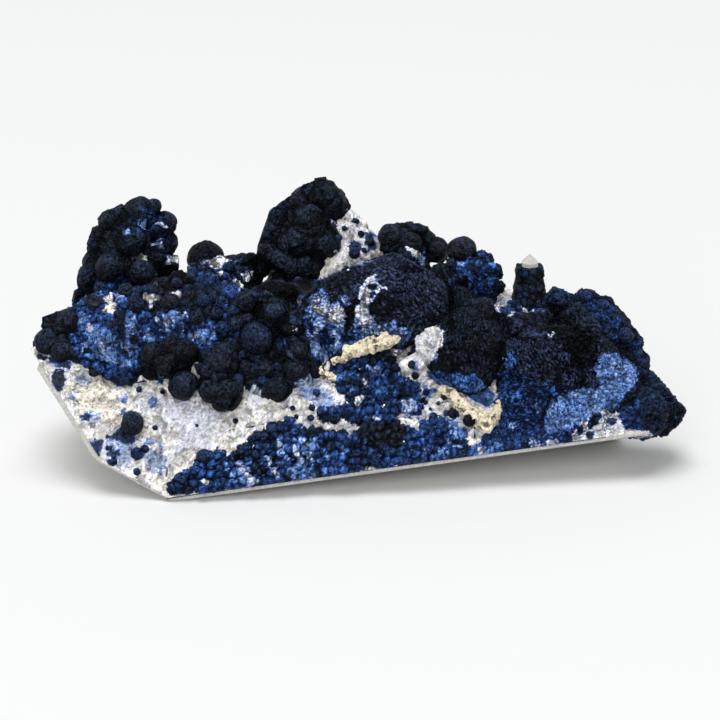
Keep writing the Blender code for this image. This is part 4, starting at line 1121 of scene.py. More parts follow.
        (76.7, 26.2, 80, 29.2, 81.2, 27.9, 79.2, 25.8, 77.5, 23.8, 76.2, 24.2),
        (82.5, 27.9, 85, 26.7, 84.2, 25, 82.5, 26.2),
        (75, 22.1, 78.3, 23.3, 77.5, 20.4, 75, 20.4),
    ]),
    # sugar ball, rear dome and spur
    (0.62, 0.0, 0.0, 0.7, 0.9, [
        (31.9, 79.8, 33.8, 80, 34.3, 78.8, 32.4, 78.3),
        (38.1, 80.5, 40.5, 80.2, 40.5, 78.3, 38.6, 78.8),
        (42.4, 74.5, 44.3, 75, 44.8, 72.6, 42.9, 72.6),
        (44.8, 74, 46.7, 73.1, 46.7, 71.7, 45.2, 71.7),
    ]),
    (0.46, 0.0, 0.0, 0.9, 0.9, [
        (40, 71.2, 44.8, 70.7, 44.8, 67.4, 41, 67.4),
        (31, 78.3, 35.7, 78.8, 35.7, 76, 31.4, 75.5),
    ]),
    (0.13, 0.0, 0.3, 0.8, 0.9, [(31, 74, 35.7, 74.5, 36.7, 71.2, 32.4, 70.2)]),
    (0.93, 0.25, -0.2, 0.6, 0.8, [
        (-10.8, 94, -9.2, 93.5, -6.7, 91.2, -5.4, 93.3, -4.2, 96.5, -2.5, 96.5, 0, 93.3, 2.1, 90, 4.2, 80.8,
         0.8, 78.8, -4.2, 77.9, -7.5, 76.2, -12.1, 73.8, -10.8, 75.4, -9.2, 77.5, -8.8, 82.9, -6.7, 83.3,
         -5.4, 85, -4.6, 86.7, -4.6, 89.6, -6.7, 90.4, -9.2, 92.1),
    ]),
    (0.26, 0.0, 0.0, 0.8, 1.0, [(-30, 97.5, -26.2, 99.6, -25.4, 95.8, -27.5, 92.5, -30, 92.5)]),
    (0.27, 0.0, -0.3, 0.4, 0.9, [
        (-5.8, 90.8, -3.8, 90.8, -3.8, 88.8, -5.4, 88.8),
        (-3.3, 86.2, -0.4, 86.7, 0, 82.9, -2.5, 82.1, -3.8, 84.2),
        (-2.5, 93.8, -0.4, 93.3, -0.4, 92.1, -2.3, 92.3),
        (0.8, 89.2, 4.2, 89.2, 5, 83.3, 2.5, 82.5, 1.2, 85.8),
    ]),
    # white at the foot of the sugar ball
    (0.92, 0.15, 0.0, 0.6, 0.8, [
        (44.8, 64.5, 46.7, 67.4, 49.5, 67.9, 53.3, 66, 58.1, 63.8, 57.1, 62.6, 53.3, 63.1, 50.5, 61.7,
         48.6, 61.2, 46.7, 62.1),
    ]),
    (0.36, 0.0, -0.4, 0.5, 0.9, [
        (47.1, 64, 49.5, 65.5, 51.4, 66.9, 52.9, 64.5, 53.3, 62.6, 50.5, 63.1, 49, 61.2, 47.6, 62.1),
    ]),
]
Patch = namedtuple("Patch", "pale warm sunk ragged keep corners")
PATCHES = [Patch(*look, border(*numbers)) for *look, borders in TONES for numbers in borders]


# ---- Fluorite growths -------------------------------------------------------------------------------------
# A growth: its centre and half-axes, how many knobs stud it and how big they are, the cells along each side
# of its grid, and its lumps as (across, up, back, radius).
Growth = namedtuple("Growth", "centre half_axes knobs knob_size cells lumps")

# Layers of relief: kind, size, height and how much the tone differs from one to the next.
TOWER = [
    ("waves", 9.0, 0.9, 0.0), ("waves", 4.0, 0.3, 0.0), ("crystals", 6.0, 1.1, 0.05),
    ("crystals", 2.0, 0.12, 0.03),
]
GRANULAR = [("waves", 7.0, 0.5, 0.0), ("crystals", 2.3, 0.28, 0.04), ("crystals", 1.0, 0.40, 0.12)]
SUGARY = [
    ("waves", 6.0, 1.2, 0.0), ("crystals", 3.2, 0.7, 0.06), ("crystals", 1.5, 0.5, 0.08),
    ("crystals", 0.9, 0.35, 0.06),
]
BALLED = [("domes", 4.2, 0.8, 0.04), ("domes", 2.0, 0.5, 0.06), ("crystals", 1.0, 0.25, 0.05)]
SMOOTH = [("waves", 3.5, 0.30, 0.0), ("crystals", 1.3, 0.15, 0.02)]
SPUR = [("waves", 4.0, 0.9, 0.0), ("crystals", 2.4, 0.5, 0.03), ("crystals", 1.1, 0.30, 0.05)]
COARSE_WHITE = [("crystals", 4.0, 0.9, 0.03), ("crystals", 1.6, 0.35, 0.03)]
CLUSTERED = [("waves", 6.0, 0.8, 0.0), ("domes", 3.4, 0.6, 0.05), ("crystals", 1.4, 0.45, 0.10)]
BRUSHED = [("waves", 5.0, 0.60, 0.0), ("crystals", 2.2, 0.40, 0.03), ("crystals", 1.2, 0.35, 0.04)]

# name, the CAD node that it stands for, slot, growth, layers of relief, and how it is shaped and dressed
GROWTHS = [
    ("great_dome_body", "great_dome", "night_fluorite",
     Growth((4, 62.5, 37), (27, 15, 19), 10, 4.0, 110, [
         (-13.0, 60.0, 32, 8.5), (-8.0, 69.0, 38, 8.0), (11.0, 74.0, 44, 8.0), (19.5, 67.0, 40, 9.0),
         (19.0, 62.0, 35, 9.0), (8.0, 55.0, 29, 8.0),
     ]), GRANULAR, dict(
         blend=2.0, pale=0.24, warm=0.09, shade=2.8,
         outline=border(
             -20, 51.7, -21.3, 60.7, -20, 67, -11.7, 73, -1, 78.3, 11, 82.3, 18, 78.7, 28.3, 72.3, 29.7, 66.7,
             28.7, 59.7, 23.3, 56),
         ribs=[
             Ribs((-401.7, 69.2), 1.4, 0.30, border(
                 10, 78.3, 13.3, 78.8, 14.2, 72.9, 13.8, 60.8, 10, 60.8, 9.6, 69.2)),
             Ribs((10.7, 84.7), 1.3, 0.26, border(
                 14.7, 79.3, 21.3, 77.3, 28, 71.3, 28.7, 65.3, 26.7, 58.7, 21.3, 56.7, 14.7, 58,
                 13.3, 66.7)),
         ])),
    ("right_dome", "right_domes", "night_fluorite",
     Growth(on_front(66, 45, -1), (21, 12, 13.5), 10, 3.8, 96, [
         (53.5, 56.0, 36, 6.5), (48.5, 55.0, 36, 5.5), (60.0, 58.5, 38, 5.5), (*on_front(70.0, 43.0, 4), 8.0),
         (*on_front(54.5, 33.0, 0), 8.0), (*on_front(69.0, 30.5, -3), 10.0),
         (*on_front(83.5, 38.5, -4), 10.0), (*on_front(77.0, 33.0, -4), 9.0),
     ]), GRANULAR, dict(
         pale=0.25, warm=0.09, shade=2.4,
         cuts=[face_through(on_front(66.7, 33.3, 4.5), on_front(90.0, 40.0, 3.5), on_front(80.0, 21.3, 0.8))],
         ribs=[
             Ribs((75.0, 323.3), 1.2, 0.40, border(
                 67.5, 41.7, 73.3, 42.9, 80, 42.5, 79.6, 37.1, 73.3, 37.1, 67.5, 37.5)),
             Ribs((50.7, 68.0), 1.3, 0.26, border(
                 48.7, 55.3, 62.7, 54.7, 72, 52, 78, 44.7, 78.7, 40, 66.7, 40, 56.7, 42.7, 48.7, 46)),
         ])),
    ("middle_dome", "right_domes", "night_fluorite",
     Growth(on_front(35.5, 50, 0), (13, 10, 14.5), 8, 3.2, 72, [
         (41.0, 60.0, 34, 7.5), (34.0, 66.0, 43, 5.0), (27.3, 76.0, 51, 3.6), (*on_front(27.5, 46.0, 3), 5.0),
         (*on_front(37.0, 42.0, 2), 7.0), (*on_front(43.0, 48.0, 2), 5.5),
     ]), GRANULAR, dict(
         pale=0.14, shade=2.2, ribs=[
             Ribs((36.7, 76.7), 1.2, 0.22, border(
                 24.7, 60.7, 32, 66.7, 41.3, 65.3, 45.3, 59.3, 45.3, 42.7, 40, 40, 32, 44, 24.7, 46)),
             Ribs((40.0, 155.0), 0.9, 0.16, border(
                 23.8, 43.1, 31.4, 42.6, 35.7, 41.2, 37.6, 42.4, 42.4, 37.9, 44.8, 35.5, 43.3, 30.5,
                 38.1, 33.1, 33.3, 36.9, 25.7, 38.8)),
         ])),
    ("upper_fan", "right_domes", "night_fluorite",
     Growth((75.5, 56.5, 46), (14.5, 13.5, 11), 12, 2.8, 80, [
         (66.0, 65.0, 47, 5.5), (75.0, 65.5, 49, 5.0), (80.0, 62.0, 48, 4.6), (83.5, 56.5, 47, 5.0),
         (89.5, 52.0, 46, 5.2), (91.5, 45.5, 43, 5.2), (87.0, 47.0, 43, 6.0),
     ]), BRUSHED, dict(
         pale=0.17, shade=1.4, ribs=[
             Ribs((83.3, 44.2), 1.3, 0.50, border(
                 62.1, 65, 70.4, 62.9, 80, 57.5, 79.2, 50, 77.5, 43.3, 73.3, 44.2, 69.2, 48.3, 65, 53.3)),
         ])),
    ("end_lobe", "right_domes", "night_fluorite",
     Growth((96.5, 32, 37), (12, 10, 9.5), 8, 3.0, 64, [
         (105.0, 33.5, 36, 5.0), (102.5, 26.5, 35, 5.5), (94.5, 27.0, 33, 6.0), (92.5, 40.0, 41, 6.5),
         (101.0, 34.0, 36, 9.5), (90.5, 27.5, 31, 6.5), (94.0, 29.0, 27, 8.5), (89.0, 28.0, 24, 5.5),
         (104.5, 36.5, 37, 5.5),
     ]), BRUSHED, dict(
         pale=0.22, shade=1.3,
         outline=border(
             93.3, 47.3, 97.3, 42.7, 102.7, 40.3, 107.7, 38, 110.3, 35.7, 110, 32.3, 108, 28.7, 106.3, 25,
             102.7, 22, 96, 20.7, 90, 20.3, 84.3, 23, 85.7, 31.3, 90.7, 42.7),
         ribs=[
             Ribs((80.0, 35.8), 1.1, 0.25, border(
                 93.3, 40.8, 98.3, 41.7, 109.2, 37.5, 110, 33.3, 106.7, 25.4, 100.4, 22.5, 95.4, 23.3,
                 93.3, 31.7)),
         ])),
    ("sugar_ball_body", "sugar_ball", "navy_fluorite",
     Growth((37.5, 72, 54), (9.3, 8.5, 9.8), 26, 2.2, 60, [
         (42.5, 71.0, 52, 4.0), (41.0, 78.0, 54, 3.5),
     ]), SUGARY, dict(pale=0.31, mottle=0.16, shade=2.0)),
    ("rear_dome_body", "rear_dome", "night_fluorite",
     Growth((14.5, 79, 68), (9.5, 10, 13.0), 10, 2.8, 56, [
         (10.5, 86.0, 69, 4.8), (15.0, 87.0, 69, 4.6), (20.5, 86.0, 69, 4.6), (8.0, 82.0, 67, 4.8),
         (25.5, 82.5, 68, 4.6),
     ]), TOWER, dict(shade=1.5)),
    ("centre_tower_body", "centre_tower", "night_fluorite",
     Growth((-17.5, 87, 63), (12, 11, 15.5), 6, 3.0, 96, [
         (-12.7, 102.3, 63, 5.4), (-15.8, 102.3, 63, 5.0), (-20.0, 99.5, 62, 5.6), (-8.0, 98.0, 63, 5.2),
         (-25.5, 95.0, 62, 5.2),
         (-16.5, 92.5, 56, 5.8), (-28.5, 88.5, 60, 5.4), (-21.5, 86.0, 55, 5.2), (-12.5, 85.5, 55, 5.4),
         (-31.0, 82.0, 58, 5.0), (-24.5, 79.0, 54, 5.4), (-16.5, 78.0, 54, 5.4), (-33.0, 77.5, 58, 4.6),
     ]), TOWER, dict(
         shade=1.5, proudest=0.3, outline=border(
             -34.6, 78.3, -33.8, 85, -31.7, 90.8, -29.1, 98.1, -21.2, 103.4, -16.7, 107.2, -10, 107.4,
             -7.9, 105.6, -5.6, 102.1, 0, 94.6))),
    ("white_spur", "quartz_block", "quartz_druse",
     Growth((-4.5, 84, 64), (6, 6, 11), 4, 2.5, 60, [
         (-3.8, 93.5, 64, 3.4), (-6.0, 89.0, 61, 4.6), (-0.5, 86.5, 61, 4.4), (-3.0, 80.0, 57, 6.0),
         (-8.5, 77.5, 55, 5.0), (1.5, 82.0, 61, 4.6), (-11.0, 74.0, 53, 4.0),
     ]), SPUR, dict(pale=0.98, warm=0.34, mottle=0.04, shade=0.55)),
    ("white_crystals", "quartz_block", "quartz_druse",
     Growth(on_front(23.0, 51.0, 4.0), (4.5, 4.5, 6.5), 0, 0.0, 40, [
         (*on_front(26.5, 54.5, 5.0), 3.2), (*on_front(19.5, 46.0, 4.0), 2.8),
         (*on_front(16.0, 44.5, 3.0), 2.6),
     ]), COARSE_WHITE, dict(pale=0.97, warm=0.12, mottle=0.04, shade=0.5)),
    ("saddle_balls", "centre_tower", "night_fluorite",
     Growth((-39.5, 74, 58), (7, 7, 8.0), 6, 2.2, 36, [(-43.0, 77.0, 60, 3.6), (-37.5, 77.5, 60, 3.6)]),
     TOWER, {}),
    ("navy_cluster", "centre_tower", "navy_fluorite",
     Growth((-49.5, 69, 48), (11, 9.5, 9.5), 14, 2.6, 72, [
         (-60.5, 72.0, 48, 3.6), (-57.0, 67.5, 43, 3.8), (-51.5, 71.5, 43, 4.6), (-46.0, 69.5, 42, 4.8),
         (-42.5, 64.8, 40, 4.8), (-47.0, 76.0, 50, 4.0), (-40.0, 72.0, 49, 5.2),
     ]), CLUSTERED, dict(pale=0.23, mottle=0.12, shade=2.0)),
    ("centre_cluster_body", "centre_cluster", "night_fluorite",
     Growth((-28.5, 59, 33), (9, 9, 12), 10, 3.4, 76, [
         (-28.0, 67.0, 38, 6.6), (-34.0, 54.5, 26, 5.8), (-25.0, 49.0, 24, 6.2), (-32.5, 46.5, 23, 4.6),
         (-21.0, 43.5, 22, 4.3), (-38.0, 65.0, 38, 4.2), (-22.5, 58.5, 28, 5.0),
         (-34.0, 54.0, 28, 6.5), (-39.5, 50.0, 26, 5.0), (-20.0, 52.0, 28, 4.5),
     ]), TOWER, dict(pale=0.19, shade=2.6)),
    ("left_tower_body", "left_tower", "night_fluorite",
     Growth((-78, 82, 60), (11, 11, 15.5), 5, 2.8, 96, [
         (-73.5, 95.5, 60, 5.6), (-82.0, 93.5, 59, 5.6), (-65.8, 91.5, 59, 4.6), (-65.0, 85.5, 58, 4.4),
         (-87.0, 87.0, 58, 5.2), (-76.5, 86.0, 53, 5.4), (-87.5, 79.5, 57, 5.0), (-83.3, 77.7, 50, 5.0),
         (-73.7, 76.3, 50, 4.6), (-91.0, 73.0, 55, 4.6), (-93.0, 68.0, 53, 4.2), (-84.0, 70.5, 49, 4.8),
         (-77.0, 69.5, 49, 4.0), (-67.0, 79.0, 56, 4.6), (-62.0, 76.5, 58, 4.5), (-56.5, 76.0, 57, 4.6),
     ]), TOWER, dict(
         shade=1.5, proudest=0.3, outline=border(
             -97.1, 62.4, -94.8, 71, -91.8, 87.4, -85.7, 95.7, -81, 98.3, -73.3, 101.1, -69.5, 100.6,
             -61.4, 94.3, -61, 86.2))),
    ("blue_mound", "left_mounds", "blue_fluorite",
     Growth((-84, 54.5, 28), (12, 9.5, 12.5), 8, 3.0, 84, [
         (-86.0, 64.0, 35, 4.8), (-78.5, 61.5, 33, 4.8), (-91.0, 56.5, 29, 5.2), (-82.5, 50.0, 24, 7.0),
         (-79.5, 43.5, 21, 4.6), (-76.5, 56.0, 27, 5.0),
     ]), SUGARY, dict(pale=0.56, mottle=0.12, shade=0.65)),
    ("inner_mound", "left_mounds", "blue_fluorite",
     Growth((-62, 59.5, 33), (10, 8.5, 8), 8, 3.0, 60, [
         (-68.5, 62.0, 34, 4.2), (-64.0, 65.5, 37, 4.4), (-55.5, 64.5, 36, 4.8), (-54.0, 55.0, 30, 4.8),
         (-62.0, 54.5, 28, 4.4), (-68.0, 56.0, 31, 4.4),
     ]), BALLED, dict(pale=0.24, mottle=0.16)),
    ("dark_lobe", "left_mounds", "night_fluorite",
     Growth(on_front(-63.5, 47, 1), (8, 6.5, 5.2), 6, 2.4, 48, [
         (*on_front(-68.3, 45.8, 2), 4.4), (*on_front(-59.3, 48.8, 2), 4.6), (*on_front(-64.0, 48.5, 3), 4.0),
     ]), TOWER, dict(pale=0.14)),
    ("left_end_balls", "left_mounds", "night_fluorite",
     Growth((-99.5, 52.5, 33), (6.6, 6.5, 6.0), 3, 2.0, 56, [
         (-103.5, 51.5, 32, 4.6), (-98.8, 50.3, 29, 5.0), (-96.5, 57.0, 36, 4.0),
     ]), TOWER, dict(pale=0.18, shade=1.3, proudest=0.5)),
    ("twin_ball_body", "twin_ball", "night_fluorite",
     Growth(on_front(-46.5, 41, 0.5), (6.0, 6.5, 6.0), 6, 2.6, 48, [
         (*on_front(-47.0, 45.5, 0.5), 7.2), (*on_front(-49.5, 35.8, 3.0), 3.8),
         (*on_front(-43.2, 36.0, 3.0), 4.2), (*on_front(-45.0, 33.0, 3.0), 3.8),
     ]), TOWER, dict(pale=0.14)),
    ("rear_ball_body", "rear_ball", "night_fluorite",
     Growth((-51.3, 80.2, 63), (6.4, 6.4, 6.3), 0, 0.0, 36, []), SMOOTH, dict(pale=0.10)),
    ("hazy_ball_body", "hazy_ball", "night_fluorite",
     Growth(on_front(-58.8, 38.3, 1.0), (5.0, 5.0, 4.9), 0, 0.0, 36, []), SMOOTH, dict(pale=0.20)),
    ("low_ball_body", "low_ball", "night_fluorite",
     Growth(on_front(-27.7, 37.5, 1.0), (4.6, 4.6, 4.5), 0, 0.0, 32, []), TOWER, dict(pale=0.15)),
    ("lone_ball_body", "lone_ball", "night_fluorite",
     Growth(on_front(-76.3, 26, 1.0), (3.6, 3.6, 3.5), 0, 0.0, 28, []), TOWER, dict(pale=0.18)),
]
for seed, (name, node, slot, growth, layers, dress) in enumerate(GROWTHS, 100):
    shape = {key: dress.pop(key) for key in ("blend", "outline", "cuts") if key in dress}
    points, squares, creases = growth_surface(growth, **shape)
    points, marks = dressed(points, squares, layers, 10 * seed, patches=PATCHES, creases=creases, **dress)
    make(name, (points, squares, marks), slot, node)


# ---- The quartz block -------------------------------------------------------------------------------------
TOP_FACE = 49.0  # height of the quartz block under the growths
BACK_FACE = 84.0  # how far the broken back lies behind the front corner
RIGHT_UNDERSIDE = np.array((0.140, -0.386, -0.912))
LEFT_UNDERSIDE = np.array((-0.813, -0.010, -0.583))
LEFT_FOOT = np.array((-0.444, -0.015, -0.896))
FRONT_SUNK = 0.8  # how far the block's own front lies under the druse that covers it
# The block as half-spaces: a point on each face and the direction that it faces.
ROUGH_FACES = [
    (CORNER - FACE_OUTWARDS * FRONT_SUNK, FACE_OUTWARDS),  # front, the display side
    ((0, 60, TOP_FACE), (0.0, 0.1, 1.0)),  # top, under the growths
    ((50, 50, TOP_FACE), (0.55, 0.0, 1.0)),  # right shoulder
    ((-92, 50, TOP_FACE), (-0.55, -0.1, 1.0)),  # left shoulder
    ((0, BACK_FACE, 20), (0.12, 1.0, 0.10)),  # back, right
    ((-40, BACK_FACE, 20), (-0.25, 1.0, 0.25)),  # back, left
    ((0, BACK_FACE - 4, 10), (0.0, 1.0, -0.6)),  # back, foot
    ((93, 40, 20), (1.0, 0.15, -0.1)),  # right end
    ((86, 60, 20), (0.8, 0.9, 0.0)),  # right end, back
    ((-112, 40, 45), (-1.0, -0.1, 0.1)),  # left end
    ((-104, 60, 40), (-0.8, 0.7, 0.0)),  # left end, back
]
SAWN_FACES = [
    ((0, 0, 0), (0.0, 0.0, -1.0)),  # the base it stands on
    (CORNER, RIGHT_UNDERSIDE),
    ((-87.4, 5.9, 12.7), LEFT_UNDERSIDE),
    ((-87.4, 5.9, 12.7), LEFT_FOOT),
    (CORNER + (0.0, 0.9, 0.0), FACE_OUTWARDS + RIGHT_UNDERSIDE * 0.7),  # the narrow rim along the foot
    ((-85.8, 6.8, 13.5), FACE_OUTWARDS + LEFT_UNDERSIDE),  # the narrow rim up its left side
    ((-64.2, 1.2, 2.1), FACE_OUTWARDS + LEFT_FOOT),  # and along its left foot
]
# Hills and spurs of quartz that carry the growths, as (x, y, z, radius).
HILLS = [
    (-78, 60, 44, 17), (-50, 64, 45, 15), (-18, 63, 48, 17), (-3, 66, 62, 11.5), (-5, 64, 69, 8),
    (15, 68, 46, 13), (38, 55, 43, 14), (75, 52, 30, 15), (-86, 34, 40, 11), (24, 30, 40, 7), (88, 32, 16, 9),
    (56, 64, 38, 9), (-101, 36, 40, 7),
]
HILL_BLEND = 1.5  # how softly the hills run into the block
STEEP = (0.10, 0.40)  # walls nearly along the rays would smear fine relief, which fades in between these
BLOCK_CENTRE = np.array((-6.0, 46.0, 25.0))
BLOCK_HALF_AXES = np.array((100.0, 42.0, 26.0))
BLOCK_CELLS = (230, 96, 62)
BROKEN = [("waves", 16.0, 1.6, 0.0), ("waves", 5.0, 0.9, 0.0)]
BROKEN_FINE = [("crystals", 6.0, 0.9, 0.03), ("crystals", 2.4, 0.45, 0.05)]
SAWN_SHADE = 0.33  # what is sawn is greyer than what is broken
SAWN_EDGE = (0.1, 2.5)  # smooth to the first depth inside a sawn face, fully rough from the second
PATCHED_DEPTH = (66.0, 74.0)  # the display side's patches fade out between these, behind the front corner


def depth_inside(points, faces):
    """How far each point lies inside the nearest of those faces, in millimetres."""
    depths = [(np.asarray(point, float) - points) @ unit(facing) for point, facing in faces]
    return np.min(depths, axis=0)


def quartz_block():
    """A box blown out along its rays to the block's faces and hills, rough where it grew or broke."""
    box, squares = box_grid(*BLOCK_CELLS)
    rays = unit(box * BLOCK_HALF_AXES)
    base = reach_of_faces(rays, np.full(len(rays), np.inf), BLOCK_CENTRE, ROUGH_FACES)
    hills = [(np.array(spot) - BLOCK_CENTRE, radius) for *spot, radius in HILLS]
    reach, _ = reach_of_lumps(rays, base, hills, HILL_BLEND)
    reach = reach_of_faces(rays, reach, BLOCK_CENTRE, SAWN_FACES)
    points = BLOCK_CENTRE + rays * reach[:, None]
    rough = fade(depth_inside(points, SAWN_FACES), *SAWN_EDGE)
    facing = facings(points, squares)
    height, painted_shading, tone = relief(points, BROKEN, 7)
    fine_height, fine_painted_shading, fine_tone = relief(points, BROKEN_FINE, 8)
    square_on = fade(np.einsum("ij,ij->i", facing, rays), *STEEP)
    height, painted_shading = height + square_on * fine_height, painted_shading + square_on * fine_painted_shading
    tone = tone + fine_tone
    stained = fade(cloud(points, 14.0, 13), 0.45, 0.8) * rough  # a few blue stains
    pale = 0.97 + tone + 0.06 * cloud(points, 9.0, 12) - 0.35 * stained
    pale = np.where(rough > 0.5, pale, 1.0 + 0.03 * cloud(points, 5.0, 14))
    warm = 0.25 * fade(cloud(points, 18.0, 15), 0.0, 0.6)
    # Broken faces carry the relief's painted shade and highlight; sawn faces are evenly greyer.
    painted_shading = np.clip(painted_shading, -0.5, 0.7) * rough + SAWN_SHADE * (1.0 - rough)
    height, marks = height * rough, {"pale": pale, "warm": warm, "painted_shading": painted_shading}
    near_side = 1.0 - fade(points[:, 1], *PATCHED_DEPTH)
    lay_patches(PATCHES, points, fade(facing @ -TOWARDS, *SHOWN) * rough * near_side, height, marks)
    return points + facing * height[:, None], squares, marks


make("quartz_block_body", quartz_block(), "quartz_druse", "quartz_block")


# ---- What covers the display side -------------------------------------------------------------------------
SETTLING = 1.2  # how wide the edge is in which a sheet settles to the face
SHEET_DEPTH = 1.5  # how far its wall goes in


def sheet(foot, head, step, layers, seed, rise, pale, warm, mottle, shade=1.0):
    """A closed sheet on the display side, dressed. It settles to the face at its edge; rise lifts it."""
    across, up = sheet_spots(foot, head, step)
    rows, columns = across.shape
    across, up = across.ravel(), up.ravel()
    edge = inside(across, up, list(foot) + list(head)[::-1])
    flat = on_face(across, up)
    grid = squares_of(rows, columns)[:, [0, 3, 2, 1]]
    lifted = flat + FACE_OUTWARDS * rise(across, up, flat)[:, None]
    raised, marks = dressed(lifted, grid, layers, seed, pale, warm, mottle, PATCHES, shade=shade)
    settled = fade(edge, 0.0, SETTLING)[:, None]
    points, faces = closed_sheet(flat + (raised - flat) * settled, rows, columns, SHEET_DEPTH)
    more = len(points) - rows * columns
    return points, faces, {mark: np.concatenate([v, np.full(more, v.mean())]) for mark, v in marks.items()}


DRUSE = [
    ("waves", 9.0, 0.9, 0.0), ("crystals", 3.8, 0.90, 0.02), ("crystals", 1.7, 0.65, 0.04),
    ("crystals", 0.9, 0.30, 0.04),
]


def no_rise(across, up, points):
    """A sheet that lies on the face everywhere."""
    return 0.0 * across


RIM_SEARCH = 60.0  # the rims are looked for between here and the foot of the layout


def line_on_rim(side, across_from, across_to, count, margin):
    """Spots of the layout along the edge between the display side and a rim, margin inside it."""
    across = np.linspace(across_from, across_to, count)
    low, high = on_face(across, 0.0 * across), on_face(across, 0.0 * across + RIM_SEARCH)
    rim_point, rim_facing = np.array(side[0], float), unit(side[1])
    share = ((rim_point - low) @ rim_facing) / ((high - low) @ rim_facing)
    return [(float(a), float(u)) for a, u in zip(across, RIM_SEARCH * share + margin)]


RIGHT_RIM, LEFT_RIM, LEFT_FOOT_RIM = SAWN_FACES[4:]
LEFT_DRUSE_FOOT = (
    line_on_rim(LEFT_RIM, -109.5, -88.0, 3, 0.5) + line_on_rim(LEFT_FOOT_RIM, -86.5, -66.5, 3, 0.4)
    + line_on_rim(RIGHT_RIM, -64.5, -28.0, 3, -0.1)
)
LEFT_DRUSE_HEAD = border(-109.8, 50.5, -105, 53, -97, 59, -90, 62, -72, 64, -60, 63, -45, 62, -28, 60)
RIGHT_FOOT = line_on_rim(RIGHT_RIM, -29.0, 88.0, 5, -0.15)
RIGHT_HEAD = border(-29, 60, 0, 58, 32, 54, 62, 50, 92, 38)
FINE_STEP, STEP, WIDE_STEP = 0.36, 0.40, 0.42  # how far the points of a sheet are apart

for name, foot, head, step, seed, *look in (
    ("left_druse", LEFT_DRUSE_FOOT, LEFT_DRUSE_HEAD, FINE_STEP, 201, 0.97, 0.15, 0.04, 0.65),
    ("right_druse", RIGHT_FOOT, RIGHT_HEAD, WIDE_STEP, 202, 0.96, 0.10, 0.05, 0.65),
):
    make(name, sheet(foot, head, step, DRUSE, seed, no_rise, *look), "quartz_druse", "quartz_block")

CRUST = [("waves", 6.0, 0.9, 0.0), ("domes", 2.5, 1.45, 0.08), ("crystals", 1.2, 0.35, 0.08)]
FOOT_CRUST = [("domes", 2.2, 0.5, 0.08), ("domes", 1.1, 0.25, 0.08)]
INFILL = [("waves", 6.0, 1.0, 0.0), ("domes", 4.2, 1.8, 0.06), ("domes", 1.8, 0.3, 0.06)]
CRUST_RAGGED = 1.2
CRUST_UNDER = 2.2  # how far a crust's sheet dips under the face where it has no crust


def crust_rise(outline, lift, seed):
    """Lift within the outline, made ragged, and outside it a little under the face."""
    def rise(across, up, points):
        edge = inside(across, up, outline) + CRUST_RAGGED * cloud(points, 3.0, seed)
        return lift * fade(edge, -0.2, 1.4) - CRUST_UNDER * (1.0 - fade(edge, -1.2, 0.2))
    return rise


FRONT_CRUST = border(
    -64.4, 3.1, -61.9, 6.1, -58.3, 9.4, -56.1, 10.3, -54.4, 13.9, -51.9, 15.6, -50, 16.7, -48.3, 18.3,
    -46.7, 17.8, -45, 14.4, -43.3, 15, -41.1, 17.8, -37.8, 18.9, -36.7, 20.8, -34.4, 22.2, -31.7, 23.9,
    -28.3, 25.3, -23.9, 25.6, -21.7, 24.7, -19.4, 25.8, -17.8, 23.9, -14.4, 23.1, -12.2, 22.2, -8.9, 21.4,
    -6.1, 23.1, -4.4, 20.6, -1.1, 21.7, -0.4, 25.6, -6.7, 28.9, -11.1, 27.2, -12.8, 28.9, -8.9, 30,
    -5.6, 31.1, -3.9, 32.2, -6.7, 33.9, -8.9, 38.9, -9.4, 43.9, -4.4, 46.7, -1.1, 47.8, 10, 49.4, 11.7, 45,
    13.3, 40.6, 16.1, 40, 20, 38.9, 21.1, 36.7, 18.9, 35, 21.1, 33.9, 20.6, 30, 18.9, 27.8, 16.1, 27.2,
    13.9, 28.9, 11.7, 26.7, 15.6, 25, 17.8, 22.8, 20, 23.9, 25.6, 26.7, 28.3, 25.6, 31.1, 25.6, 33.9, 22.2,
    35, 17.8, 39.4, 15, 40, 13.3, 26.7, 11.9, 7.8, 10.6, -1.1, 9.2, -8.9, 7.8, -21.7, 6.4, -34.4, 4.4,
    -43.3, 3.9, -56.7, 2.5)
make("crust_balls", sheet(
    line_on_rim(RIGHT_RIM, -64.5, 42.0, 6, -0.3),
    border(-64.5, 18.5, -50, 22, -29, 26, -8, 50, 10, 54, 42, 50), FINE_STEP, CRUST, 301,
    crust_rise(FRONT_CRUST, 1.5, 3), 0.33, 0.0, 0.12, 1.05), "navy_fluorite", "front_crust", "corner_crust")
make("right_foot_crust", sheet(
    line_on_rim(RIGHT_RIM, 38.0, 82.0, 4, -0.3),
    border(38, 44, 52, 46, 66, 42, 82, 34), STEP, FOOT_CRUST, 303,
    crust_rise(border(
        38, 12.3, 40, 20, 44, 22.7, 46.7, 25, 46, 33.3, 46.7, 42.7, 53.3, 42.7, 66.7, 36, 76, 30, 70.7, 20,
        56.7, 17, 46.7, 14.7), 1.0, 5),
    0.34, 0.0, 0.10), "navy_fluorite", "front_crust")
make("infill", sheet(
    border(-106, 50, -92, 44, -80, 38, -64, 41, -45, 37, -28, 33, -12, 42),
    border(-106, 61, -92, 66, -80, 70, -64, 72, -45, 72, -28, 68, -12, 64), WIDE_STEP, INFILL, 304,
    crust_rise(border(
        -108, 51.7, -103.3, 49.3, -95, 42.7, -88.3, 42.7, -81.7, 38.3, -77.3, 39.3, -73.3, 42.7, -65, 42.7,
        -56.7, 45, -53.3, 49.3, -50.7, 46, -49.3, 41.7, -44, 40, -38.3, 38.7, -32.7, 34, -25, 35, -20, 38.3,
        -14, 42.7, -12.7, 50, -12.7, 60, -20, 68, -36.7, 71.3, -70, 71.3, -100, 64.7), 2.0, 6),
    0.20, 0.0, 0.14), "navy_fluorite", "left_mounds")


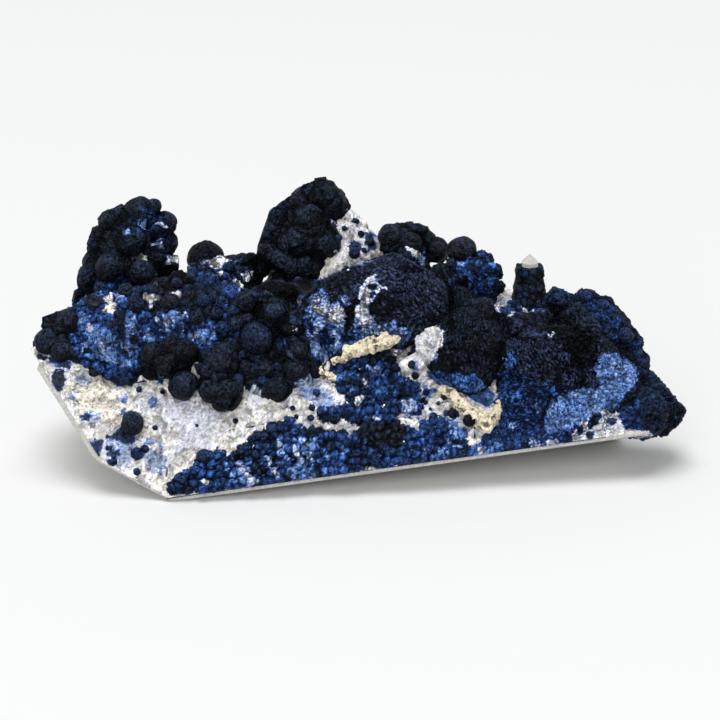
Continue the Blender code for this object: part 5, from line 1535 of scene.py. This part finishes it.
# ---- Cream ridges -----------------------------------------------------------------------------------------
# Each ridge as spots along its middle: across, up, how far proud of the display side, and how thick.
CREAM_RIDGES = {
    "long_cream_ridge": [
        (-8.5, 46.8, 2.5, 1.4), (-4.2, 49.2, 5.0, 2.1), (-0.8, 50.2, 5.5, 2.3),
        (2.5, 51.2, 6.2, 2.4), (5.8, 52.4, 7.6, 2.7), (8.8, 52.9, 8.0, 2.9),
        (10.9, 53.3, 7.8, 2.3),
    ],
    "forked_cream_ridge": [
        (28.0, 36.8, 0.8, 1.2), (31.5, 34.0, 0.8, 2.0), (35.5, 30.5, 1.0, 2.4),
        (38.5, 27.5, 1.0, 3.0), (42.0, 25.0, 1.0, 3.0), (45.3, 28.5, 1.2, 1.6),
        (46.2, 32.5, 1.5, 0.8),
    ],
    "cream_tail": [(-15.0, 44.0, 1.0, 0.8), (-11.7, 41.8, 1.2, 1.3), (-9.0, 40.5, 1.2, 0.8)],
}


def tube(path, around, along):
    """A closed round-ended tube: rings carried along a path of (across, up, proud, radius).

    It is eased between its spots. Rings lie closer together at the ends, where they shrink like a half-ball.
    """
    spots = np.array([place(*on_front(*spot)) for *spot, _ in path])
    radii = np.array([radius for *_, radius in path])
    run = np.concatenate([[0.0], np.cumsum(np.linalg.norm(np.diff(spots, axis=0), axis=1))])

    def along_middle(at):
        return np.stack([np.interp(at, run, spots[:, k]) for k in range(3)], axis=1)

    share = 0.5 - 0.5 * np.cos(np.linspace(0.0, math.pi, along))
    at = share * (run[-1] + radii[0] + radii[-1]) - radii[0]
    middle = along_middle(at)
    heading = unit(np.gradient(along_middle(np.clip(at, 0, run[-1])), axis=0))
    first, last = unit(spots[1] - spots[0]), unit(spots[-1] - spots[-2])
    heading = np.where((at < 0)[:, None], first, np.where((at > run[-1])[:, None], last, heading))
    middle += first * np.minimum(at, 0.0)[:, None] + last * np.maximum(at - run[-1], 0.0)[:, None]
    thick = np.interp(at, run, radii)
    over = np.clip(np.where(at < 0, -at / radii[0], (at - run[-1]) / radii[-1]), 0.0, 1.0)
    thick = thick * np.sqrt(np.clip(1.0 - over**2, 0.0004, 1.0))
    side = unit(np.cross(heading, FACE_OUTWARDS))
    rise = np.cross(side, heading)
    turn = np.linspace(0.0, math.tau, around, endpoint=False)
    ring = np.cos(turn)[None, :, None] * side[:, None] + np.sin(turn)[None, :, None] * rise[:, None]
    points = (middle[:, None] + ring * thick[:, None, None]).reshape(-1, 3)
    return np.concatenate([points, middle[:1], middle[-1:]]), rings_closed(around, along)


RIDGE_CRUST = [("waves", 2.6, 1.0, 0.0), ("crystals", 1.3, 0.45, 0.05)]
RIDGE_CELLS = (72, 150)  # points round a ridge and along it
PIT_DEPTH = 1.1
for seed, (name, path) in enumerate(CREAM_RIDGES.items(), 41):
    points, faces = tube(path, *RIDGE_CELLS)
    if np.einsum("ij,ij->i", facings(points, faces), points - points.mean(axis=0)).mean() < 0:
        faces = faces[:, ::-1]
    points, marks = dressed(points, faces, RIDGE_CRUST, seed, 0.98, 1.0, 0.05, shade=0.7)
    pits = fade(cloud(points, 1.7, seed + 3, 2), 0.30, 0.7)
    points = points - facings(points, faces) * (PIT_DEPTH * pits)[:, None]
    # Painted shade in the pits, as well as sinking them.
    marks["painted_shading"] = np.maximum(marks["painted_shading"], 0.8 * pits)
    make(f"{name}_body", (points, faces, marks), "cream_crust", *({name} & set(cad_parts)))


# ---- Single balls -----------------------------------------------------------------------------------------
# Balls that stand on what has grown before them, as (across, up, radius, pale).
BALLS = [
    # left tower
    (-83.7, 78.0, 4.5, 0.17), (-73.7, 75.3, 4.5, 0.18), (-65.7, 73.0, 2.3, 0.2),
    (-60.7, 72.0, 2.3, 0.22), (-77.7, 70.3, 2.7, 0.17), (-85.3, 93.0, 3.0, 0.15),
    (-68.0, 98.0, 2.7, 0.22), (-91.3, 73.3, 2.3, 0.15),
    # left end and mounds
    (-104.0, 52.7, 4.3, 0.19), (-99.3, 50.3, 4.0, 0.16), (-98.0, 60.0, 4.0, 0.14),
    (-88.0, 65.7, 3.0, 0.15), (-74.3, 65.3, 3.0, 0.21), (-64.0, 65.7, 3.7, 0.15),
    (-70.0, 49.3, 4.0, 0.11), (-63.3, 51.3, 4.0, 0.1), (-58.0, 49.3, 3.7, 0.1), (-66.0, 45.0, 3.3, 0.1),
    (-78.0, 40.7, 2.0, 0.26), (-89.3, 42.7, 2.0, 0.14),
    # navy cluster
    (-50.7, 73.0, 3.7, 0.3), (-43.0, 78.0, 2.2, 0.28), (-44.3, 75.0, 1.3, 0.34), (-56.7, 74.3, 2.0, 0.2),
    (-56.7, 71.3, 1.3, 0.26), (-38.0, 66.3, 3.7, 0.15), (-43.3, 69.7, 2.7, 0.4), (-46.3, 66.3, 2.7, 0.3),
    (-51.7, 66.7, 2.7, 0.28), (-55.0, 60.7, 2.7, 0.2), (-48.3, 62.3, 2.3, 0.25),
    (-42.7, 62.3, 2.3, 0.25), (-41.3, 57.7, 2.3, 0.2), (-46.0, 56.7, 2.3, 0.3), (-38.0, 60.7, 2.0, 0.16),
    # twin and hazy balls
    (-58.3, 38.7, 4.7, 0.18), (-49.7, 37.0, 4.0, 0.13), (-44.0, 36.3, 4.0, 0.14),
    (-46.7, 32.3, 3.7, 0.12), (-46.7, 45.7, 4.7, 0.16), (-51.3, 42.3, 2.7, 0.15),
    # centre cluster
    (-34.0, 54.0, 5.3, 0.23), (-32.7, 44.0, 4.0, 0.16), (-22.0, 43.0, 4.3, 0.15),
    (-27.3, 37.3, 3.7, 0.12), (-20.0, 50.0, 3.0, 0.14), (-24.0, 56.7, 2.7, 0.1),
    (-40.7, 40.7, 2.0, 0.24), (-38.0, 45.3, 2.3, 0.16),
    # white face
    (-76.3, 26.0, 3.8, 0.2), (-73.0, 37.3, 1.1, 0.3), (-68.7, 24.7, 0.9, 0.34), (-54.3, 25.3, 0.6, 0.28),
    (-41.7, 25.7, 1.0, 0.2), (-82.3, 12.7, 1.8, 0.32), (-72.3, 17.7, 1.5, 0.32),
    (-74.7, 14.7, 2.3, 0.32), (-74.0, 9.7, 1.4, 0.32), (-52.0, 14.7, 2.7, 0.3), (-65.7, 36.3, 0.8, 0.1),
    (-84.3, 17.7, 1.3, 0.32), (-34.0, 21.0, 1.3, 0.3), (-22.3, 31.0, 0.8, 0.36),
    (-16.7, 31.0, 1.3, 0.26), (-16.3, 27.7, 1.0, 0.28), (-20.7, 28.3, 0.8, 0.28),
    (-8.7, 26.7, 2.0, 0.24), (-15.0, 35.7, 1.3, 0.36),
    # by the long cream ridge and on to the right
    (16.7, 48.3, 2.0, 0.2), (17.0, 44.7, 1.4, 0.24), (18.0, 41.3, 1.3, 0.24), (22.3, 35.3, 1.1, 0.3),
    (28.0, 33.7, 1.3, 0.22), (31.3, 29.3, 2.3, 0.13), (36.0, 26.0, 2.3, 0.13), (26.0, 32.7, 0.7, 0.3),
    (24.0, 30.7, 0.7, 0.3),
    # behind
    (33.8, 84.3, 5.3, 0.13), (25.7, 83.7, 3.0, 0.12), (10.7, 88.0, 4.7, 0.13), (17.3, 86.0, 4.0, 0.13),
    (48.0, 63.0, 2.0, 0.3), (51.0, 65.7, 1.7, 0.28), (53.0, 63.7, 1.3, 0.3), (89.0, 55.0, 3.0, 0.26),
    (93.0, 48.7, 2.3, 0.28), (66.7, 68.0, 2.0, 0.3), (75.0, 68.0, 2.3, 0.3), (81.3, 65.3, 2.3, 0.3),
    # on the white spur
    (-5.0, 90.0, 1.0, 0.28), (-2.0, 85.3, 1.3, 0.28), (-1.7, 82.3, 2.0, 0.28), (1.0, 88.7, 1.2, 0.28),
    (-1.3, 93.3, 1.0, 0.26), (2.0, 83.3, 1.2, 0.28), (-6.7, 88.0, 1.3, 0.26), (4.0, 85.7, 1.7, 0.16),
]
BALL_SKIN = [("waves", 4.0, 0.25, 0.0), ("crystals", 2.2, 0.12, 0.03)]
BALL_SIDES = 13
BALL_CELLS = 4.5  # cells along each side of a ball's grid, for each millimetre of its radius
SETTLE_REACH = 0.8  # how close is close to a ball's spot
BALL_SUNK = 0.5  # the share of its radius that a ball's middle lies under the surface
DISPLAY_SIDE = np.concatenate(grown)
DISPLAY_LAYOUT = np.stack(layout_of(DISPLAY_SIDE), axis=1)


def settle(across, up):
    """The point nearest to the viewpoint of all that has grown close to that spot of the layout."""
    away = np.hypot(*(DISPLAY_LAYOUT - (across, up)).T)
    near = DISPLAY_SIDE[away < max(SETTLE_REACH, away.min() + 0.3)]
    return near[np.argmin((near - VIEWPOINT) @ TOWARDS)]


def balls():
    """Every single ball, cut to flat sides, as one surface, each with its own tone."""
    surfaces = []
    for seed, (across, up, radius, pale) in enumerate(BALLS):
        centre = settle(across, up) + TOWARDS * radius * BALL_SUNK
        cells = int(np.clip(radius * BALL_CELLS, 5, 20))
        points, squares = cut_ball(centre, radius, BALL_SIDES, cells, seed)
        surfaces.append((points, squares, {"pale": np.full(len(points), pale)}))
    points, squares, marks = bunch(surfaces)
    points, marks = dressed(points, squares, BALL_SKIN, 77, marks["pale"], 0.03, 0.02, shade=2.0)
    return points, squares, marks


make("single_balls", balls(), "night_fluorite")


# ---- The quartz point and its fluorite sleeve -------------------------------------------------------------
PRISM_SIDES = 6
SLEEVE_FOOT = (56.3, 64.0, 66.0)
SLEEVE_STEPS = [(-4.0, 7.4), (2.0, 7.0), (4.5, 6.2), (8.0, 5.6), (11.5, 5.0), (12.6, 5.4), (15.0, 4.9)]
SLEEVE_SKIN = [("domes", 2.6, 0.45, 0.05), ("crystals", 1.2, 0.12, 0.04)]
SLEEVE_CELLS = (120, 70)  # points round the sleeve and along it


def prism(steps, around, along):
    """A closed six-sided column: rings of (height, radius) eased between, with flat sides."""
    heights, radii = (np.array([step[k] for step in steps]) for k in range(2))
    level = np.linspace(heights[0], heights[-1], along)
    wide = np.interp(level, heights, radii)
    turn = (np.arange(around) + 0.5) * math.tau / around
    half_side = math.pi / PRISM_SIDES
    within = (turn - half_side) % (2.0 * half_side) - half_side
    flat = math.cos(half_side) / np.cos(within)
    ring = np.stack([np.cos(turn) * flat, np.sin(turn) * flat], axis=1)
    rings = ring[None] * wide[:, None, None], np.repeat(level[:, None, None], around, axis=1)
    points = np.concatenate(rings, axis=2).reshape(-1, 3)
    ends = [(0.0, 0.0, heights[0]), (0.0, 0.0, heights[-1])]
    return np.concatenate([points, ends]), rings_closed(around, along)


points, faces = prism(SLEEVE_STEPS, *SLEEVE_CELLS)
points = points + place(*SLEEVE_FOOT)
points, marks = dressed(points, faces, SLEEVE_SKIN, 501, 0.20, 0.0, 0.10)
make("point_sleeve_body", (points, faces, marks), "navy_fluorite", "point_sleeve")

for material_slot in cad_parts["quartz_point"].material_slots:
    material_slot.material = FINISHES["clear_quartz"]


# ---- Floor, light and camera ------------------------------------------------------------------------------
def floor():
    """A pale floor with nothing on it."""
    bpy.ops.mesh.primitive_plane_add(size=8.0, location=(0.0, 0.0, 0.0))
    plane = bpy.context.object
    plane.name = "floor"
    material, _, shader = new_material("pale_floor")
    shader.inputs["Base Color"].default_value = (0.77, 0.775, 0.77, 1.0)
    shader.inputs["Roughness"].default_value = 0.9
    shader.inputs["Specular IOR Level"].default_value = 0.0
    plane.data.materials.append(material)


def lamp(name, at, to, size, power):
    """A soft square lamp at a place in metres, turned to face another."""
    light = bpy.data.lights.new(name, "AREA")
    light.energy, light.size = power, size
    lamp_object = bpy.data.objects.new(name, light)
    bpy.context.scene.collection.objects.link(lamp_object)
    aim = unit(np.array(to) - np.array(at))
    lamp_object.location = at
    lamp_object.rotation_euler = (math.acos(-aim[2]), 0.0, math.atan2(-aim[0], aim[1]))


floor()
world = bpy.data.worlds.new("soft_light")
bpy.context.scene.world = world
world.use_nodes = True
background = world.node_tree.nodes["Background"]
background.inputs["Color"].default_value = (0.98, 0.99, 1.0, 1.0)
background.inputs["Strength"].default_value = 0.48
lamp("overhead", (-0.45, -0.9, 6.0), (0.0, 0.0, 0.0), 3.6, 262.0)
lamp("front", (-1.3, -4.6, 2.3), (0.0, 0.0, 0.04), 3.0, 98.0)

camera = bpy.data.cameras.new("camera")
camera.lens, camera.sensor_width = 135.0, 36.0
camera.clip_start = 0.01
viewer = bpy.data.objects.new("camera", camera)
viewer.location = (VIEWPOINT - FRONT_CORNER) * MM
viewer.rotation_euler = (math.pi / 2 - VIEW_TILT, 0.0, 0.0)
bpy.context.scene.collection.objects.link(viewer)
bpy.context.scene.camera = viewer
bpy.context.scene.view_settings.view_transform = "Standard"
